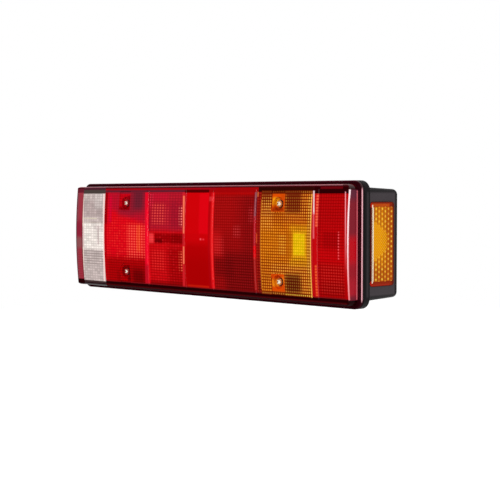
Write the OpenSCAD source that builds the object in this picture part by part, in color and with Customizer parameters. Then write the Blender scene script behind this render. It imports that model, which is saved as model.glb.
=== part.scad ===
// Rear lamp of a truck or trailer: a black tub, a crowned multi-section lens held by four
// screws, a silvered tray with six bulbs, brass leads, a rear inlet and an amber side marker.
// Origin: centre of the four rear studs, in the plane of their bosses.
// The lens faces -Y, the side marker +X, and +Z is up.

/* [Overall] */
// Height of the rim and of the lens flange
lamp_h = 131; // [126:1:150]
// Corner radius of the rim
rim_r = 11; // [8:0.5:14]

/* [Housing] */
// Depth of the tub behind its rim
body_depth = 57.5; // [54:0.5:66]
// Step from the rim's edge in to the tub
body_inset = 6.5; // [6:0.5:8]
// Corner radius of the tub at the rim
body_r = 8; // [7.5:0.5:10]
// Narrowing of the tub on each side, from the rim to the back
draft = 2.2; // [0.6:0.1:2.5]
// Wall of the tub
wall = 2.5; // [2:0.1:3]
// Thickness of the rear wall
rear_wall = 3; // [2.5:0.1:4]
// Radius of the edge round the back
rear_fillet = 5; // [2:0.5:5.5]
// Depth of the rim
rim_depth = 9.5; // [8:0.5:11]
// Thickness of the rim's front plate and of its skirt
rim_wall = 2.5; // [2.2:0.1:3]
// Height of the pads behind the rear wall
pad_h = 3; // [2.5:0.5:4]

/* [Lens] */
// Thickness of the lens flange
flange_t = 2.5; // [2:0.1:3]
// Step from the flange's edge in to the raised lens, at the end with the marker
inset_near = 5; // [4:0.5:6]
// The same step at the other end
inset_far = 1.5; // [1.5:0.5:4]
// The same step along the long edges
inset_long = 4; // [3.5:0.5:5]
// Height of the raised lens over its flange, at the top and bottom edges
lens_rise = 13; // [11:0.5:16]
// Radius of the crowned front
crown_r = 560; // [450:10:900]
// Wall of the lens
lens_wall = 2.8; // [2.4:0.1:3.2]
// Radius of the lens's front edge
lens_fillet = 3; // [2:0.5:4]
// Corner radius of the raised lens
lens_r = 6; // [5:0.5:6]
// Pitch of the flutes inside the lens
flute_pitch = 3; // [2.5:0.1:5]
// Depth of the flutes inside the lens
flute_depth = 0.9; // [0.4:0.1:1.2]
// Thickness of the ribs behind the lens
rib_t = 1.6; // [1.2:0.1:2]

/* [Sections, from the left end] */
// Plain strip at the left end
strip_w = 15.5; // [12:0.5:18]
// Clear reverse section
reverse_w = 44; // [40:1:46]
// Fog section with two screws
fog_w = 82.5; // [78:0.5:86]
// Tail section
tail_w = 66.5; // [62:0.5:70]
// Stop section
stop_w = 46; // [42:0.5:48]
// Reflector section
reflex_w = 67; // [62:0.5:70]
// Red strip before the indicator
gap_w = 9; // [6:0.5:10]
// Amber indicator section
indicator_w = 73.5; // [70:0.5:75]
// Raised bead beside the indicator
bead_w = 8; // [6:0.5:9]
// Red section at the right end
end_w = 40; // [36:0.5:46]

/* [Lens screws] */
// Left screws, from the start of the fog section
screw_off_l = 39; // [36:0.5:42]
// Right screws, from the start of the indicator section
screw_off_r = 24.5; // [22:0.5:27]
// Distance of the screws from the lens's long edges
screw_edge = 20; // [18:0.5:23.5]
// Shank radius of a lens screw
screw_r = 1.9; // [1.5:0.1:2.1]
// Head radius of a lens screw
head_r = 3.6; // [3:0.1:4.2]
// Radius of the round cup under a screw head
cup_r = 7.5; // [6.5:0.5:8]
// Radius of the plain patch round a cup
patch_r = 10; // [9:0.5:11]

/* [Bulbs] */
// Globe radius of a large bulb
globe_r = 12.5; // [11:0.5:13]
// Globe radius of a small bulb
small_globe_r = 9; // [8:0.5:10]
// Cap radius of a bulb
cap_r = 7.5; // [7:0.1:7.8]

/* [Rear] */
// Stud spacing along the lamp
stud_x = 350; // [330:2:360]
// Stud spacing across the lamp
stud_z = 60; // [56:1:64]
// Stud radius
stud_r = 4; // [3:0.5:5]
// Stud length behind the pads
stud_len = 25; // [18:1:35]
// Place of the inlet along the lamp
inlet_x = 60; // [55:1:65]
// Pitch of the inlet's blades
blade_pitch = 6; // [5.5:0.5:6]

/* [Side marker] */
// Height of the marker's flange
marker_h = 87; // [78:1:90]
// Width of the marker's flange
marker_w = 38.5; // [36:0.5:42]
// Step from the rim's back to the marker
marker_off = 8; // [6:0.5:10]
// Flange showing beside the marker's raised face
marker_edge = 2.8; // [2.4:0.1:4]
// Flange showing over and under the marker's raised face
marker_end = 5; // [3.5:0.5:6]
// Height of the marker's raised face over its flange
marker_rise = 0.8; // [0.6:0.1:1.5]

/* [Hidden] */
$fn = 96;

// Clearance round a shaft or a plug-in piece
gap = 0.3;
// Overshoot that keeps cuts clean
cut = 1;

// Planes along the depth, from the back to the front
back_y = -pad_h;
floor_y = back_y - rear_wall;
rim_back_y = back_y - body_depth;
rim_front_y = rim_back_y - rim_depth;
seat_gap = 1;
flange_back_y = rim_front_y - seat_gap;
flange_y = flange_back_y - flange_t;
edge_y = flange_y - lens_rise;

// Length of the lens, from its sections, and of the rim
bead_step = 1.5;
lens_l = strip_w + reverse_w + fog_w + tail_w + stop_w + reflex_w + gap_w + indicator_w
    + bead_step + bead_w + end_w;
lamp_l = lens_l + inset_near + inset_far;
// Middle of the lens, off the middle of the rim because its two ends are inset differently
lens_x = (inset_far - inset_near) / 2;

// Tub outline at the rim, and the slope of its drafted walls
tub_l = lamp_l - 2 * body_inset;
tub_h = lamp_h - 2 * body_inset;
slope = draft / body_depth;

// Raised lens: height, axis of its crown, inner surface and side walls
lens_h = lamp_h - 2 * inset_long;
crown_y = edge_y + sqrt(crown_r * crown_r - lens_h * lens_h / 4);
front_y = crown_y - crown_r;
inner_r = crown_r - lens_wall;
side_wall = lens_wall - 0.2;
// Depths of sweeps that reach past the lens and past its hollow, and half their angle
sweep_t = 30;
hollow_t = 40;
sweep_over = 12;
sweep_a = atan((lens_h / 2 + sweep_over) / (crown_r - sweep_t));

// Section borders along the lamp
x_strip = lens_x - lens_l / 2 + strip_w;
x_reverse = x_strip + reverse_w;
x_fog = x_reverse + fog_w;
x_tail = x_fog + tail_w;
x_stop = x_tail + stop_w;
x_reflex = x_stop + reflex_w;
x_gap = x_reflex + gap_w;
x_amber = x_gap + indicator_w;
x_bead = x_amber + bead_step + bead_w;
x_end = lens_x + lens_l / 2;
bead_x = x_bead - bead_w / 2;

// The amber panel stops short of the lens's top and bottom edges
window_edge = 6;
window_h = lens_h - 2 * window_edge;

// Places of the lens screws: two in the fog section, two in the amber panel
screw_x_l = x_reverse + screw_off_l;
screw_x_r = x_gap + screw_off_r;
screw_z = lens_h / 2 - screw_edge;

// Cup, tube and pillar of a lens screw, the screw and the end of its hole
cup_depth = 6.2;
cup_floor_y = front_y + cup_depth;
cup_wall = 1.8;
tube_r = 6;
pillar_r = tube_r - 0.5;
pillar_top_y = rim_front_y + 2;
seal_t = 0.8;
screw_len = 40;
screw_hole_y = cup_floor_y - seal_t + screw_len + 4;

// Tray: floor plane, bowl depth, walls
tray_stand = 18;
tray_front_y = floor_y - tray_stand;
tray_t = 2;
tray_top_y = rim_front_y + 1;
tray_gap = 3;
tray_l = tub_l - 2 * wall - 2 * tray_gap;
tray_h = tub_h - 2 * wall - 2 * tray_gap;
tray_wall = 1.6;
bowl_depth = 8;
bowl_back_y = tray_front_y + bowl_depth;

// Tray screws: places, between bowls and clear of the lens pillars
tray_screw_off = 14;
tray_screw_xl = x_fog + tray_screw_off;
tray_screw_xr = x_reflex - tray_screw_off;
tray_screw_z = tray_h / 2 - 9;
tray_screw_r = 1.5;
tray_screw_len = 12;
tray_pillar_r = 3 * tray_screw_r;

// Sockets and bulbs share one plane behind the bowls
socket_r = cap_r + 0.9;
socket_back_y = bowl_back_y + tray_t + 2.5;
socket_len = 16;
socket_flange_r = socket_r + 2.6;
socket_flange_y = bowl_back_y + tray_t;
cap_back_y = socket_back_y - 1.5;
cap_len = 15;

// Bulb places along the lamp
fog_off = 26;
indicator_off = 28;
reverse_x = (x_strip + x_reverse) / 2;
fog_x = x_fog - fog_off;
tail_x = (x_fog + x_tail) / 2;
stop_x = (x_tail + x_stop) / 2;
indicator_x = x_amber - indicator_off;
position_x = (bead_x + tray_l / 2) / 2;

// Bowl round each bulb: its place along the lamp and the radius of its rim
bowl_edge = 3;
bowls = [
    [reverse_x, reverse_w / 2 - bowl_edge],
    [fog_x, fog_off - bowl_edge],
    [tail_x, tail_w / 2 - bowl_edge],
    [stop_x, stop_w / 2 - bowl_edge],
    [indicator_x, indicator_off - bowl_edge],
    [position_x, tray_l / 2 - position_x - bowl_edge]
];

// Brass leads
strip_t = 0.8;
lead_w = 3;
lead_front_y = floor_y - strip_t;
earth_back_y = socket_flange_y + 1;
blade_w = 2.8;
blade_tip_y = 11;
tongue_t = 0.5;
tongue_lean = 3;
tongue_over = 1;

// Height of a lead's lane, lane 3 being on the middle line
function lane_z(lane) = blade_pitch * (lane - 3);

// Inlet
shell_l = 7 * blade_pitch + 10;
shell_r = 2;
shell_w = 16;
shell_wall = 2;
shell_mouth_y = 18;
shell_flange = 4;
shell_floor_t = 3;

// Marker: its pocket in the end wall, which is thickened behind it, and its flange
marker_seal_t = 0.8;
marker_flange_t = 1.8;
marker_proud = 0.2;
marker_seat_x = tub_l / 2 + marker_proud - marker_flange_t - marker_seal_t;
marker_r = 3.5;
marker_back_t = 2;
marker_hollow_edge = 8;
marker_skin = 2;
marker_mid_y = rim_back_y + marker_off + marker_w / 2;

// Opening behind the marker, and the marker's two hooks
light_edge_y = 9;
light_edge_z = 12;
hook_edge = 9;
hook_w = 8;
hook_t = 2;

// Studs: neck in the wall, hexagonal head, and the seat of the seal round each
stud_neck_r = stud_r + 0.5;
stud_head_w = 3.25 * stud_r;
stud_head_t = 5;
stud_boss_r = stud_head_w / 2 + 4;
pad_r = 15;
seat_r = 10;
seat_depth = 2;

// Vent plug, below the leads
vent_x = -stud_x / 8;
vent_r = 3;
vent_z = lane_z(0) - vent_r - 1;

// Gasket groove in the rim, the lens's tongue in it, and the grid of the reflector plate
groove_out = 1.5;
groove_in = 5;
tongue_out = 2;
tongue_in = 4;
groove_depth = 1.2;
prism_pitch = 5.5;
prism_depth = 2;
panel_t = 1.2;

// Rounded rectangle, made of true arcs
module rounded_rect(l, h, r) {
    square([l - 2 * r, h], center = true);
    square([l, h - 2 * r], center = true);
    for (sx = [-1, 1], sz = [-1, 1])
        translate([sx * (l / 2 - r), sz * (h / 2 - r)])
            circle(r);
}

// Straight block with a rounded outline in X and Z, from y0 to y1
module outline_block(l, h, r, y0, y1) {
    translate([0, y1, 0])
        rotate([90, 0, 0])
            linear_extrude(y1 - y0)
                rounded_rect(l, h, r);
}

// Half section drawn at both ends of a span, with the middle filled from y0 to y1
module both_sides(c, y0, y1) {
    translate([c, 0])
        children();
    mirror([1, 0])
        translate([c, 0])
            children();
    translate([-c, y0])
        square([2 * c, y1 - y0]);
}

// Solid swept round a rounded rectangle: the child is its half section, x outward from the
// corner axes and y along the depth
module swept_block(l, h, r, y0, y1) {
    cx = l / 2 - r;
    cz = h / 2 - r;
    for (sx = [-1, 1], sz = [-1, 1])
        translate([sx * cx, 0, sz * cz])
            rotate([-90, 0, 0])
                rotate_extrude()
                    children();
    linear_extrude(2 * cz, center = true)
        both_sides(cx, y0, y1)
            children();
    rotate([0, -90, 0])
        linear_extrude(2 * cx, center = true)
            both_sides(cz, y0, y1)
                children();
}

// Round shaft or hole along the depth
module shaft(x, z, r, y0, y1) {
    translate([x, y0, z])
        rotate([-90, 0, 0])
            cylinder(h = y1 - y0, r = r);
}

// Box given by its two corners
module block(a, b) {
    translate(a)
        cube(b - a);
}

// Sweep about the crown's axis: the child has x as radius and y along the lamp
module crown_sweep(half_angle) {
    translate([0, crown_y, 0])
        rotate([0, 90, 0])
            rotate([0, 0, -90 - half_angle])
                rotate_extrude(angle = 2 * half_angle, $fn = 720)
                    children();
}

// Half section of the drafted tub, from a straight mouth to a filleted back
module tub_section(r0, y_mouth, y_draft, y_back, fillet) {
    a = atan(slope);
    y_c = y_back - fillet;
    r_c = r0 - slope * (y_c - y_draft) - fillet / cos(a);
    polygon([
        [0, y_mouth],
        [r0, y_mouth],
        [r0, y_draft],
        [r_c + fillet * cos(a), y_c + fillet * sin(a)],
        [r_c, y_c],
        [r_c, y_back],
        [0, y_back]
    ]);
    translate([r_c, y_c])
        intersection() {
            circle(fillet);
            square(fillet + cut);
        }
}

module tub_outer() {
    swept_block(tub_l, tub_h, body_r, rim_front_y, back_y)
        tub_section(body_r, rim_front_y, rim_back_y, back_y, rear_fillet);
}

module tub_inner() {
    inner = body_r - wall;
    swept_block(tub_l - 2 * wall, tub_h - 2 * wall, inner, rim_front_y - cut, floor_y)
        tub_section(inner, rim_front_y - cut, rim_back_y, floor_y, 1);
}

// Rim plate with rounded edges, and the channel behind it
module rim_block() {
    edge = 0.8;
    swept_block(lamp_l, lamp_h, rim_r, rim_front_y, rim_back_y) {
        union() {
            translate([0, rim_front_y])
                square([rim_r - edge, rim_depth]);
            translate([0, rim_front_y + edge])
                square([rim_r, rim_depth - 2 * edge]);
            translate([rim_r - edge, rim_front_y + edge])
                circle(edge);
            translate([rim_r - edge, rim_back_y - edge])
                circle(edge);
        }
    }
}

module rim_channel() {
    skirt = rim_wall - 0.3;
    outline_block(lamp_l - 2 * skirt, lamp_h - 2 * skirt, rim_r - skirt,
        rim_front_y + rim_wall, rim_back_y + cut);
}

// Closed ring between two rounded rectangles, given by its insets from the rim's edge
module edge_ring(inset_out, inset_in, y0, y1) {
    difference() {
        outline_block(lamp_l - 2 * inset_out, lamp_h - 2 * inset_out, rim_r - inset_out, y0, y1);
        outline_block(lamp_l - 2 * inset_in, lamp_h - 2 * inset_in, rim_r - inset_in,
            y0 - cut, y1 + cut);
    }
}

// Places of the four lens screws, the four studs and the four tray screws
module at_lens_screws(xs) {
    for (x = xs, sz = [-1, 1])
        translate([x, 0, sz * screw_z])
            children();
}

module at_studs() {
    for (sx = [-1, 1], sz = [-1, 1])
        translate([sx * stud_x / 2, 0, sz * stud_z / 2])
            children();
}

module at_tray_screws() {
    for (x = [tray_screw_xl, tray_screw_xr], sz = [-1, 1])
        translate([x, 0, sz * tray_screw_z])
            children();
}

// Ribs and pads on the back
module rear_relief() {
    rib = 2;
    rib_y = back_y + 2;
    at_studs()
        shaft(0, 0, pad_r, back_y - cut, 0);
    for (sz = [-1, 1])
        block([-stud_x / 2, back_y - cut, sz * stud_z / 2 - rib / 2],
            [stud_x / 2, rib_y, sz * stud_z / 2 + rib / 2]);
    for (x = [-stud_x / 2, -stud_x / 4, 0, stud_x / 2])
        block([x - rib / 2, back_y - cut, -stud_z / 2], [x + rib / 2, rib_y, stud_z / 2]);
}

// Pillars inside the tub for the lens screws, each with a web to its nearer long wall
module screw_pillars() {
    at_lens_screws([screw_x_l, screw_x_r])
        shaft(0, 0, pillar_r, pillar_top_y, floor_y + cut);
    for (x = [screw_x_l, screw_x_r], sz = [-1, 1])
        block([x - 1, pillar_top_y + 6, sz > 0 ? screw_z : -tub_h / 2 + 1],
            [x + 1, floor_y + cut, sz > 0 ? tub_h / 2 - 1 : -screw_z]);
}

module marker_opening() {
    block([tub_l / 2 - 3 * wall, marker_mid_y - marker_w / 2 + light_edge_y,
            -marker_h / 2 + light_edge_z],
        [tub_l / 2 + wall, marker_mid_y + marker_w / 2 - light_edge_y,
            marker_h / 2 - light_edge_z]);
}

// Slots in the end wall for the marker's hooks
module marker_hook_slots(play) {
    for (sz = [-1, 1])
        block([tub_l / 2 - 3 * wall, marker_mid_y - hook_w / 2 - play,
                sz * (marker_h / 2 - hook_edge) - hook_t / 2 - play],
            [tub_l / 2 + wall, marker_mid_y + hook_w / 2 + play,
                sz * (marker_h / 2 - hook_edge) + hook_t / 2 + play]);
}

module housing() {
    color("#1d1b1c")
        difference() {
            union() {
                difference() {
                    rim_block();
                    rim_channel();
                }
                tub_outer();
                rear_relief();
            }
            difference() {
                tub_inner();
                screw_pillars();
                at_studs()
                    shaft(0, 0, stud_boss_r, floor_y - stud_head_t - 0.5, floor_y + cut);
                at_tray_screws()
                    shaft(0, 0, tray_pillar_r, tray_front_y + tray_t, floor_y + cut);
                block([marker_seat_x - marker_back_t, marker_mid_y - marker_w / 2 - 1, -marker_h / 2 - 2],
                    [tub_l / 2, marker_mid_y + marker_w / 2 + 1, marker_h / 2 + 2]);
            }
            marker_plate(-gap, -gap, marker_r + gap, marker_seat_x, tub_l / 2 + cut);
            edge_ring(groove_out, groove_in, rim_front_y - cut, rim_front_y + groove_depth);
            at_lens_screws([screw_x_l, screw_x_r])
                shaft(0, 0, screw_r + gap, pillar_top_y - cut, screw_hole_y);
            at_tray_screws()
                shaft(0, 0, tray_screw_r + gap, tray_front_y, floor_y - 2);
            at_studs() {
                shaft(0, 0, stud_neck_r + gap, floor_y - cut, cut);
                shaft(0, 0, seat_r + gap, -seat_depth, cut);
                translate([0, floor_y - stud_head_t - cut, 0])
                    rotate([-90, 0, 0])
                        cylinder(h = stud_head_t + cut, r = stud_head_w / 2 / cos(30) + gap, $fn = 6);
            }
            block([inlet_x - shell_w / 2 - gap, floor_y - cut, -shell_l / 2 - gap],
                [inlet_x + shell_w / 2 + gap, back_y + cut, shell_l / 2 + gap]);
            inlet_rect(shell_flange + 1, back_y, cut);
            shaft(vent_x, vent_z, vent_r + gap, floor_y - cut, back_y + cut);
            marker_opening();
            marker_hook_slots(gap);
        }
}

module lens_gasket() {
    color("#111111")
        edge_ring(groove_out + gap, groove_in - gap, rim_front_y, rim_front_y + groove_depth);
}

// Raised lens: rounded outline, crowned front with filleted ends, filleted long edges
module lens_raised() {
    h2 = lens_h / 2;
    zc = h2 - lens_fillet;
    yc = -sqrt(pow(crown_r - lens_fillet, 2) - zc * zc);
    far = 3 * lens_fillet / (crown_r - lens_fillet);
    translate([lens_x, 0, 0])
        intersection() {
            outline_block(lens_l, lens_h, lens_r, front_y - cut, flange_back_y);
            crown_sweep(sweep_a) {
                translate([crown_r - sweep_t, -lens_l / 2])
                    square([sweep_t - lens_fillet, lens_l]);
                translate([crown_r - sweep_t, -lens_l / 2 + lens_fillet])
                    square([sweep_t, lens_l - 2 * lens_fillet]);
                for (s = [-1, 1])
                    translate([crown_r - lens_fillet, s * (lens_l / 2 - lens_fillet)])
                        circle(lens_fillet);
            }
            translate([0, crown_y, 0])
                rotate([0, -90, 0])
                    linear_extrude(lens_l + 2, center = true)
                        difference() {
                            intersection() {
                                circle(crown_r, $fn = 1440);
                                translate([-h2, -crown_r - 2 * cut])
                                    square([lens_h, sweep_t + 4 * cut]);
                            }
                            for (s = [0, 1])
                                mirror([s, 0])
                                    difference() {
                                        polygon([
                                            [zc, yc],
                                            [zc + far * zc, yc + far * yc],
                                            [h2 + 2, yc + far * yc],
                                            [h2 + 2, yc]
                                        ]);
                                        translate([zc, yc])
                                            circle(lens_fillet);
                                    }
                        }
        }
}

// Space under the lens, up to the smooth inner surface
module lens_hollow() {
    translate([lens_x, 0, 0])
        intersection() {
            outline_block(lens_l - 2 * side_wall, lens_h - 2 * side_wall, lens_r - side_wall,
                front_y, flange_back_y + cut);
            crown_sweep(sweep_a)
                translate([crown_r - hollow_t, -lens_l / 2])
                    square([hollow_t - lens_wall, lens_l]);
        }
}

// Flutes cut into the inner surface between two places along the lamp
module flutes(xa, xb) {
    n = floor((xb - xa) / flute_pitch);
    p = (xb - xa) / n;
    reach = asin((window_h / 2 - 1) / crown_r);
    crown_sweep(reach)
        polygon(concat(
            [[inner_r - 0.5, xb], [inner_r - 0.5, xa]],
            [for (i = [0:n - 1], k = [0, 1]) [inner_r + (k == 0 ? 0 : flute_depth), xa + (i + k / 2) * p]],
            [[inner_r, xb]]
        ));
}

// Rib behind the lens, from the inner surface to just over the flange
module lens_rib(x) {
    intersection() {
        block([x - rib_t / 2, front_y, -lens_h / 2 + 1], [x + rib_t / 2, flange_y, lens_h / 2 - 1]);
        crown_sweep(sweep_a)
            translate([crown_r - hollow_t, -lens_l / 2])
                square([hollow_t - lens_wall + 0.5, lens_l]);
    }
}

// Half-round bead on the crowned front
module bead(x, w, h) {
    r = (w * w / 4 + h * h) / (2 * h);
    reach = asin((window_h / 2 + 1) / crown_r);
    crown_sweep(reach)
        intersection() {
            translate([crown_r + h - r, x])
                circle(r);
            translate([crown_r - 1, x - w])
                square([h + 2, 2 * w]);
        }
}

// Cup, floor and tube round one lens screw, standing on the axis of the screw
module screw_cup_solid() {
    shaft(0, 0, cup_r + cup_wall, front_y, cup_floor_y + cup_wall);
    shaft(0, 0, tube_r, cup_floor_y, pillar_top_y);
}

module screw_cup_holes() {
    shaft(0, 0, cup_r, front_y - cut, cup_floor_y);
    shaft(0, 0, screw_r + 2 * gap, cup_floor_y - cut, pillar_top_y + cut);
}

// Plain sunk patch round a screw, open towards the lens's nearer long edge
module screw_patch(side) {
    depth = 1;
    difference() {
        union() {
            shaft(0, 0, patch_r, front_y - cut, front_y + 9);
            block([-patch_r, front_y - cut, side > 0 ? 0 : -window_h / 2 + screw_z],
                [patch_r, front_y + 9, side > 0 ? window_h / 2 - screw_z : 0]);
        }
        translate([0, 0, -side * screw_z])
            crown_sweep(10)
                translate([crown_r - hollow_t, -2 * patch_r])
                    square([hollow_t - depth, 4 * patch_r]);
    }
}

// Part of the lens taken by the clear section: front, top and bottom
module reverse_slab() {
    block([x_strip, front_y - cut, -lens_h / 2 - cut], [x_reverse, flange_y, lens_h / 2 + cut]);
}

// Part of the front taken by the amber panel
module indicator_slab() {
    block([x_gap, front_y - cut, -window_h / 2], [x_amber, flange_y - 2, window_h / 2]);
}

module lens_flange() {
    edge = 1.2;
    swept_block(lamp_l, lamp_h, rim_r, flange_y, flange_back_y) {
        union() {
            translate([0, flange_y])
                square([rim_r - edge, flange_t]);
            translate([0, flange_y + edge])
                square([rim_r, flange_t - edge]);
            translate([rim_r - edge, flange_y + edge])
                circle(edge);
        }
    }
    edge_ring(tongue_out, tongue_in, flange_back_y - cut, rim_front_y);
}

module lens_body() {
    color("#c8000d")
        difference() {
            union() {
                difference() {
                    union() {
                        lens_raised();
                        lens_flange();
                        bead(x_fog, 2.4, 0.9);
                        bead(x_reflex, 2.4, 0.9);
                        bead(x_tail, 1.4, 0.5);
                        bead(x_stop, 1.4, 0.5);
                        bead(bead_x, bead_w - 0.5, 1.4);
                    }
                    lens_hollow();
                    flutes(x_reverse + 3, x_fog - 2);
                    flutes(x_fog + 2, x_tail - 2);
                    flutes(x_reflex + 1.5, x_gap - 2);
                    flutes(x_bead, x_end - 2 * side_wall);
                }
                for (x = [x_strip - rib_t / 2, x_reverse + rib_t / 2, x_fog, x_tail, x_stop, x_reflex,
                        x_gap - rib_t / 2, x_amber + rib_t / 2])
                    lens_rib(x);
                at_lens_screws([screw_x_l])
                    screw_cup_solid();
            }
            reverse_slab();
            indicator_slab();
            at_lens_screws([screw_x_l])
                screw_cup_holes();
            for (side = [-1, 1])
                translate([screw_x_l, 0, side * screw_z])
                    screw_patch(side);
        }
}

module reverse_window() {
    color("#e8e4e0")
        intersection() {
            difference() {
                lens_raised();
                lens_hollow();
                flutes(x_strip + 1, x_reverse - 1);
            }
            reverse_slab();
        }
}

module indicator_window() {
    color("#f08a00")
        difference() {
            union() {
                intersection() {
                    difference() {
                        lens_raised();
                        lens_hollow();
                        flutes(x_gap + 1, x_amber - 1);
                    }
                    indicator_slab();
                }
                at_lens_screws([screw_x_r])
                    screw_cup_solid();
            }
            at_lens_screws([screw_x_r])
                screw_cup_holes();
            for (side = [-1, 1])
                translate([screw_x_r, 0, side * screw_z])
                    screw_patch(side);
        }
}

// Reflector plate: smooth against the lens, with a grid of prisms on its back
module reflex_panel() {
    xa = x_stop + rib_t / 2 + gap;
    xb = x_reflex - rib_t / 2 - gap;
    nx = floor((xb - xa) / prism_pitch);
    px = (xb - xa) / nx;
    reach = asin((window_h / 2 - 1) / inner_r);
    nz = floor(window_h / prism_pitch);
    base_r = inner_r - panel_t;
    color("#a00008")
        difference() {
            crown_sweep(reach)
                polygon(concat(
                    [[inner_r, xb], [inner_r, xa]],
                    [for (i = [0:nx - 1], k = [0, 1])
                        [base_r - (k == 0 ? 0 : prism_depth), xa + (i + k / 2) * px]],
                    [[base_r, xb]]
                ));
            for (i = [0:nz])
                translate([0, crown_y, 0])
                    rotate([(i / nz - 0.5) * 2 * reach, 0, 0])
                        translate([xa - cut, -base_r, 0])
                            rotate([90, 0, 90])
                                linear_extrude(xb - xa + 2 * cut)
                                    polygon([
                                        [0, 0],
                                        [prism_depth + cut, -(prism_depth + cut) * prism_pitch / prism_depth / 2],
                                        [prism_depth + cut, (prism_depth + cut) * prism_pitch / prism_depth / 2]
                                    ]);
        }
}

// Pan-head screw with a cross recess: head towards -Y, seat at y = 0
module pan_screw(r, hr, head_h, len) {
    slot = r * 0.45;
    difference() {
        union() {
            intersection() {
                shaft(0, 0, hr, -head_h, 0);
                translate([0, 1.6 * hr - head_h, 0])
                    sphere(1.6 * hr);
            }
            shaft(0, 0, r, -cut, len - r);
            translate([0, len - r, 0])
                rotate([-90, 0, 0])
                    cylinder(h = r, r1 = r, r2 = r / 4);
        }
        block([-slot, -head_h - cut, -slot * 3.4], [slot, -head_h * 0.35, slot * 3.4]);
        block([-slot * 3.4, -head_h - cut, -slot], [slot * 3.4, -head_h * 0.35, slot]);
    }
}

module lens_screws() {
    color("#d8d8da")
        at_lens_screws([screw_x_l, screw_x_r])
            translate([0, cup_floor_y - seal_t, 0])
                pan_screw(screw_r, head_r, 2.8, screw_len);
}

module screw_seals() {
    color("#151515")
        at_lens_screws([screw_x_l, screw_x_r])
            difference() {
                shaft(0, 0, head_r + 0.6, cup_floor_y - seal_t, cup_floor_y);
                shaft(0, 0, screw_r + gap, cup_floor_y - seal_t - cut, cup_floor_y + cut);
            }
}

// Ball that gives a bowl of one depth with the wanted rim radius
function bowl_ball(rim) = (rim * rim + bowl_depth * bowl_depth) / (2 * bowl_depth);

module bowl_shell(x, rim) {
    ball = bowl_ball(rim);
    translate([x, bowl_back_y - ball, 0])
        intersection() {
            sphere(ball + tray_t);
            translate([-rim - tray_t, ball - bowl_depth, -rim - tray_t])
                cube([2 * (rim + tray_t), bowl_depth + tray_t + cut, 2 * (rim + tray_t)]);
        }
}

module bowl_cut(x, rim) {
    ball = bowl_ball(rim);
    intersection() {
        translate([x, bowl_back_y - ball, 0])
            sphere(ball);
        shaft(x, 0, rim + tray_t, tray_front_y - cut, bowl_back_y + cut);
    }
    shaft(x, 0, socket_r + gap, tray_front_y, bowl_back_y + tray_t + 2 * cut);
}

module reflector_tray() {
    color("#c9cacc")
        difference() {
            union() {
                difference() {
                    outline_block(tray_l, tray_h, 3, tray_top_y, tray_front_y + tray_t);
                    outline_block(tray_l - 2 * tray_wall, tray_h - 2 * tray_wall, 1.4,
                        tray_top_y - cut, tray_front_y);
                }
                for (b = bowls)
                    bowl_shell(b[0], b[1]);
                for (x = [x_reverse, x_fog, x_tail, x_stop, x_reflex, bead_x])
                    block([x - tray_wall / 2, tray_top_y, -tray_h / 2 + 1],
                        [x + tray_wall / 2, tray_front_y + cut, tray_h / 2 - 1]);
            }
            for (b = bowls)
                bowl_cut(b[0], b[1]);
            at_lens_screws([screw_x_l, screw_x_r])
                shaft(0, 0, tube_r + gap, tray_top_y - cut, tray_front_y + tray_t + cut);
            for (x = [screw_x_l, screw_x_r], sz = [-1, 1])
                block([x - 1 - gap, tray_top_y - cut, sz > 0 ? screw_z : -tray_h / 2 - cut],
                    [x + 1 + gap, tray_front_y + tray_t + cut, sz > 0 ? tray_h / 2 + cut : -screw_z]);
            at_tray_screws()
                shaft(0, 0, tray_screw_r + gap, tray_front_y - cut, tray_front_y + tray_t + cut);
            block([tray_l / 2 - 2 * tray_wall, marker_mid_y - marker_w / 2 + light_edge_y,
                    -marker_h / 2 + light_edge_z],
                [tray_l / 2 + cut, tray_front_y - cut, marker_h / 2 - light_edge_z]);
        }
}

module tray_screws() {
    color("#b9babd")
        at_tray_screws()
            translate([0, tray_front_y, 0])
                pan_screw(tray_screw_r, 2.8, 2, tray_screw_len);
}

// Bayonet bulb: cap with two pins and a contact, neck and globe, one sealed piece
module bulb(x, ball, tint) {
    neck_y = cap_back_y - cap_len;
    globe_y = neck_y - 3 - ball;
    color(tint)
        translate([x, 0, 0]) {
            shaft(0, 0, cap_r, neck_y, cap_back_y);
            shaft(0, 0, 2.5, cap_back_y - cut, cap_back_y + 1.2);
            shaft(0, 0, cap_r - 0.6, globe_y + ball / 2, neck_y + cut);
            translate([0, globe_y, 0])
                sphere(ball);
            translate([0, cap_back_y - 6, 0])
                cylinder(h = 2 * cap_r + 1.6, r = 1, center = true);
        }
}

// Socket: rolled shell with two bayonet slots and a flange behind the bowl
module socket(x) {
    front = socket_back_y - socket_len;
    color("#c7a34a")
        translate([x, 0, 0])
            difference() {
                union() {
                    shaft(0, 0, socket_r, front, socket_back_y);
                    shaft(0, 0, socket_flange_r, socket_flange_y, socket_flange_y + 1);
                }
                shaft(0, 0, cap_r + gap, front - cut, socket_back_y + cut);
                block([-1.4, front - cut, -socket_r - cut], [1.4, cap_back_y - 4.6, socket_r + cut]);
            }
}

// Blade of a lead, from the leads' plane out through the inlet
module blade(lane, y0) {
    z = lane_z(lane);
    block([inlet_x - blade_w / 2, y0, z - strip_t / 2], [inlet_x + blade_w / 2, blade_tip_y, z + strip_t / 2]);
}

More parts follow.
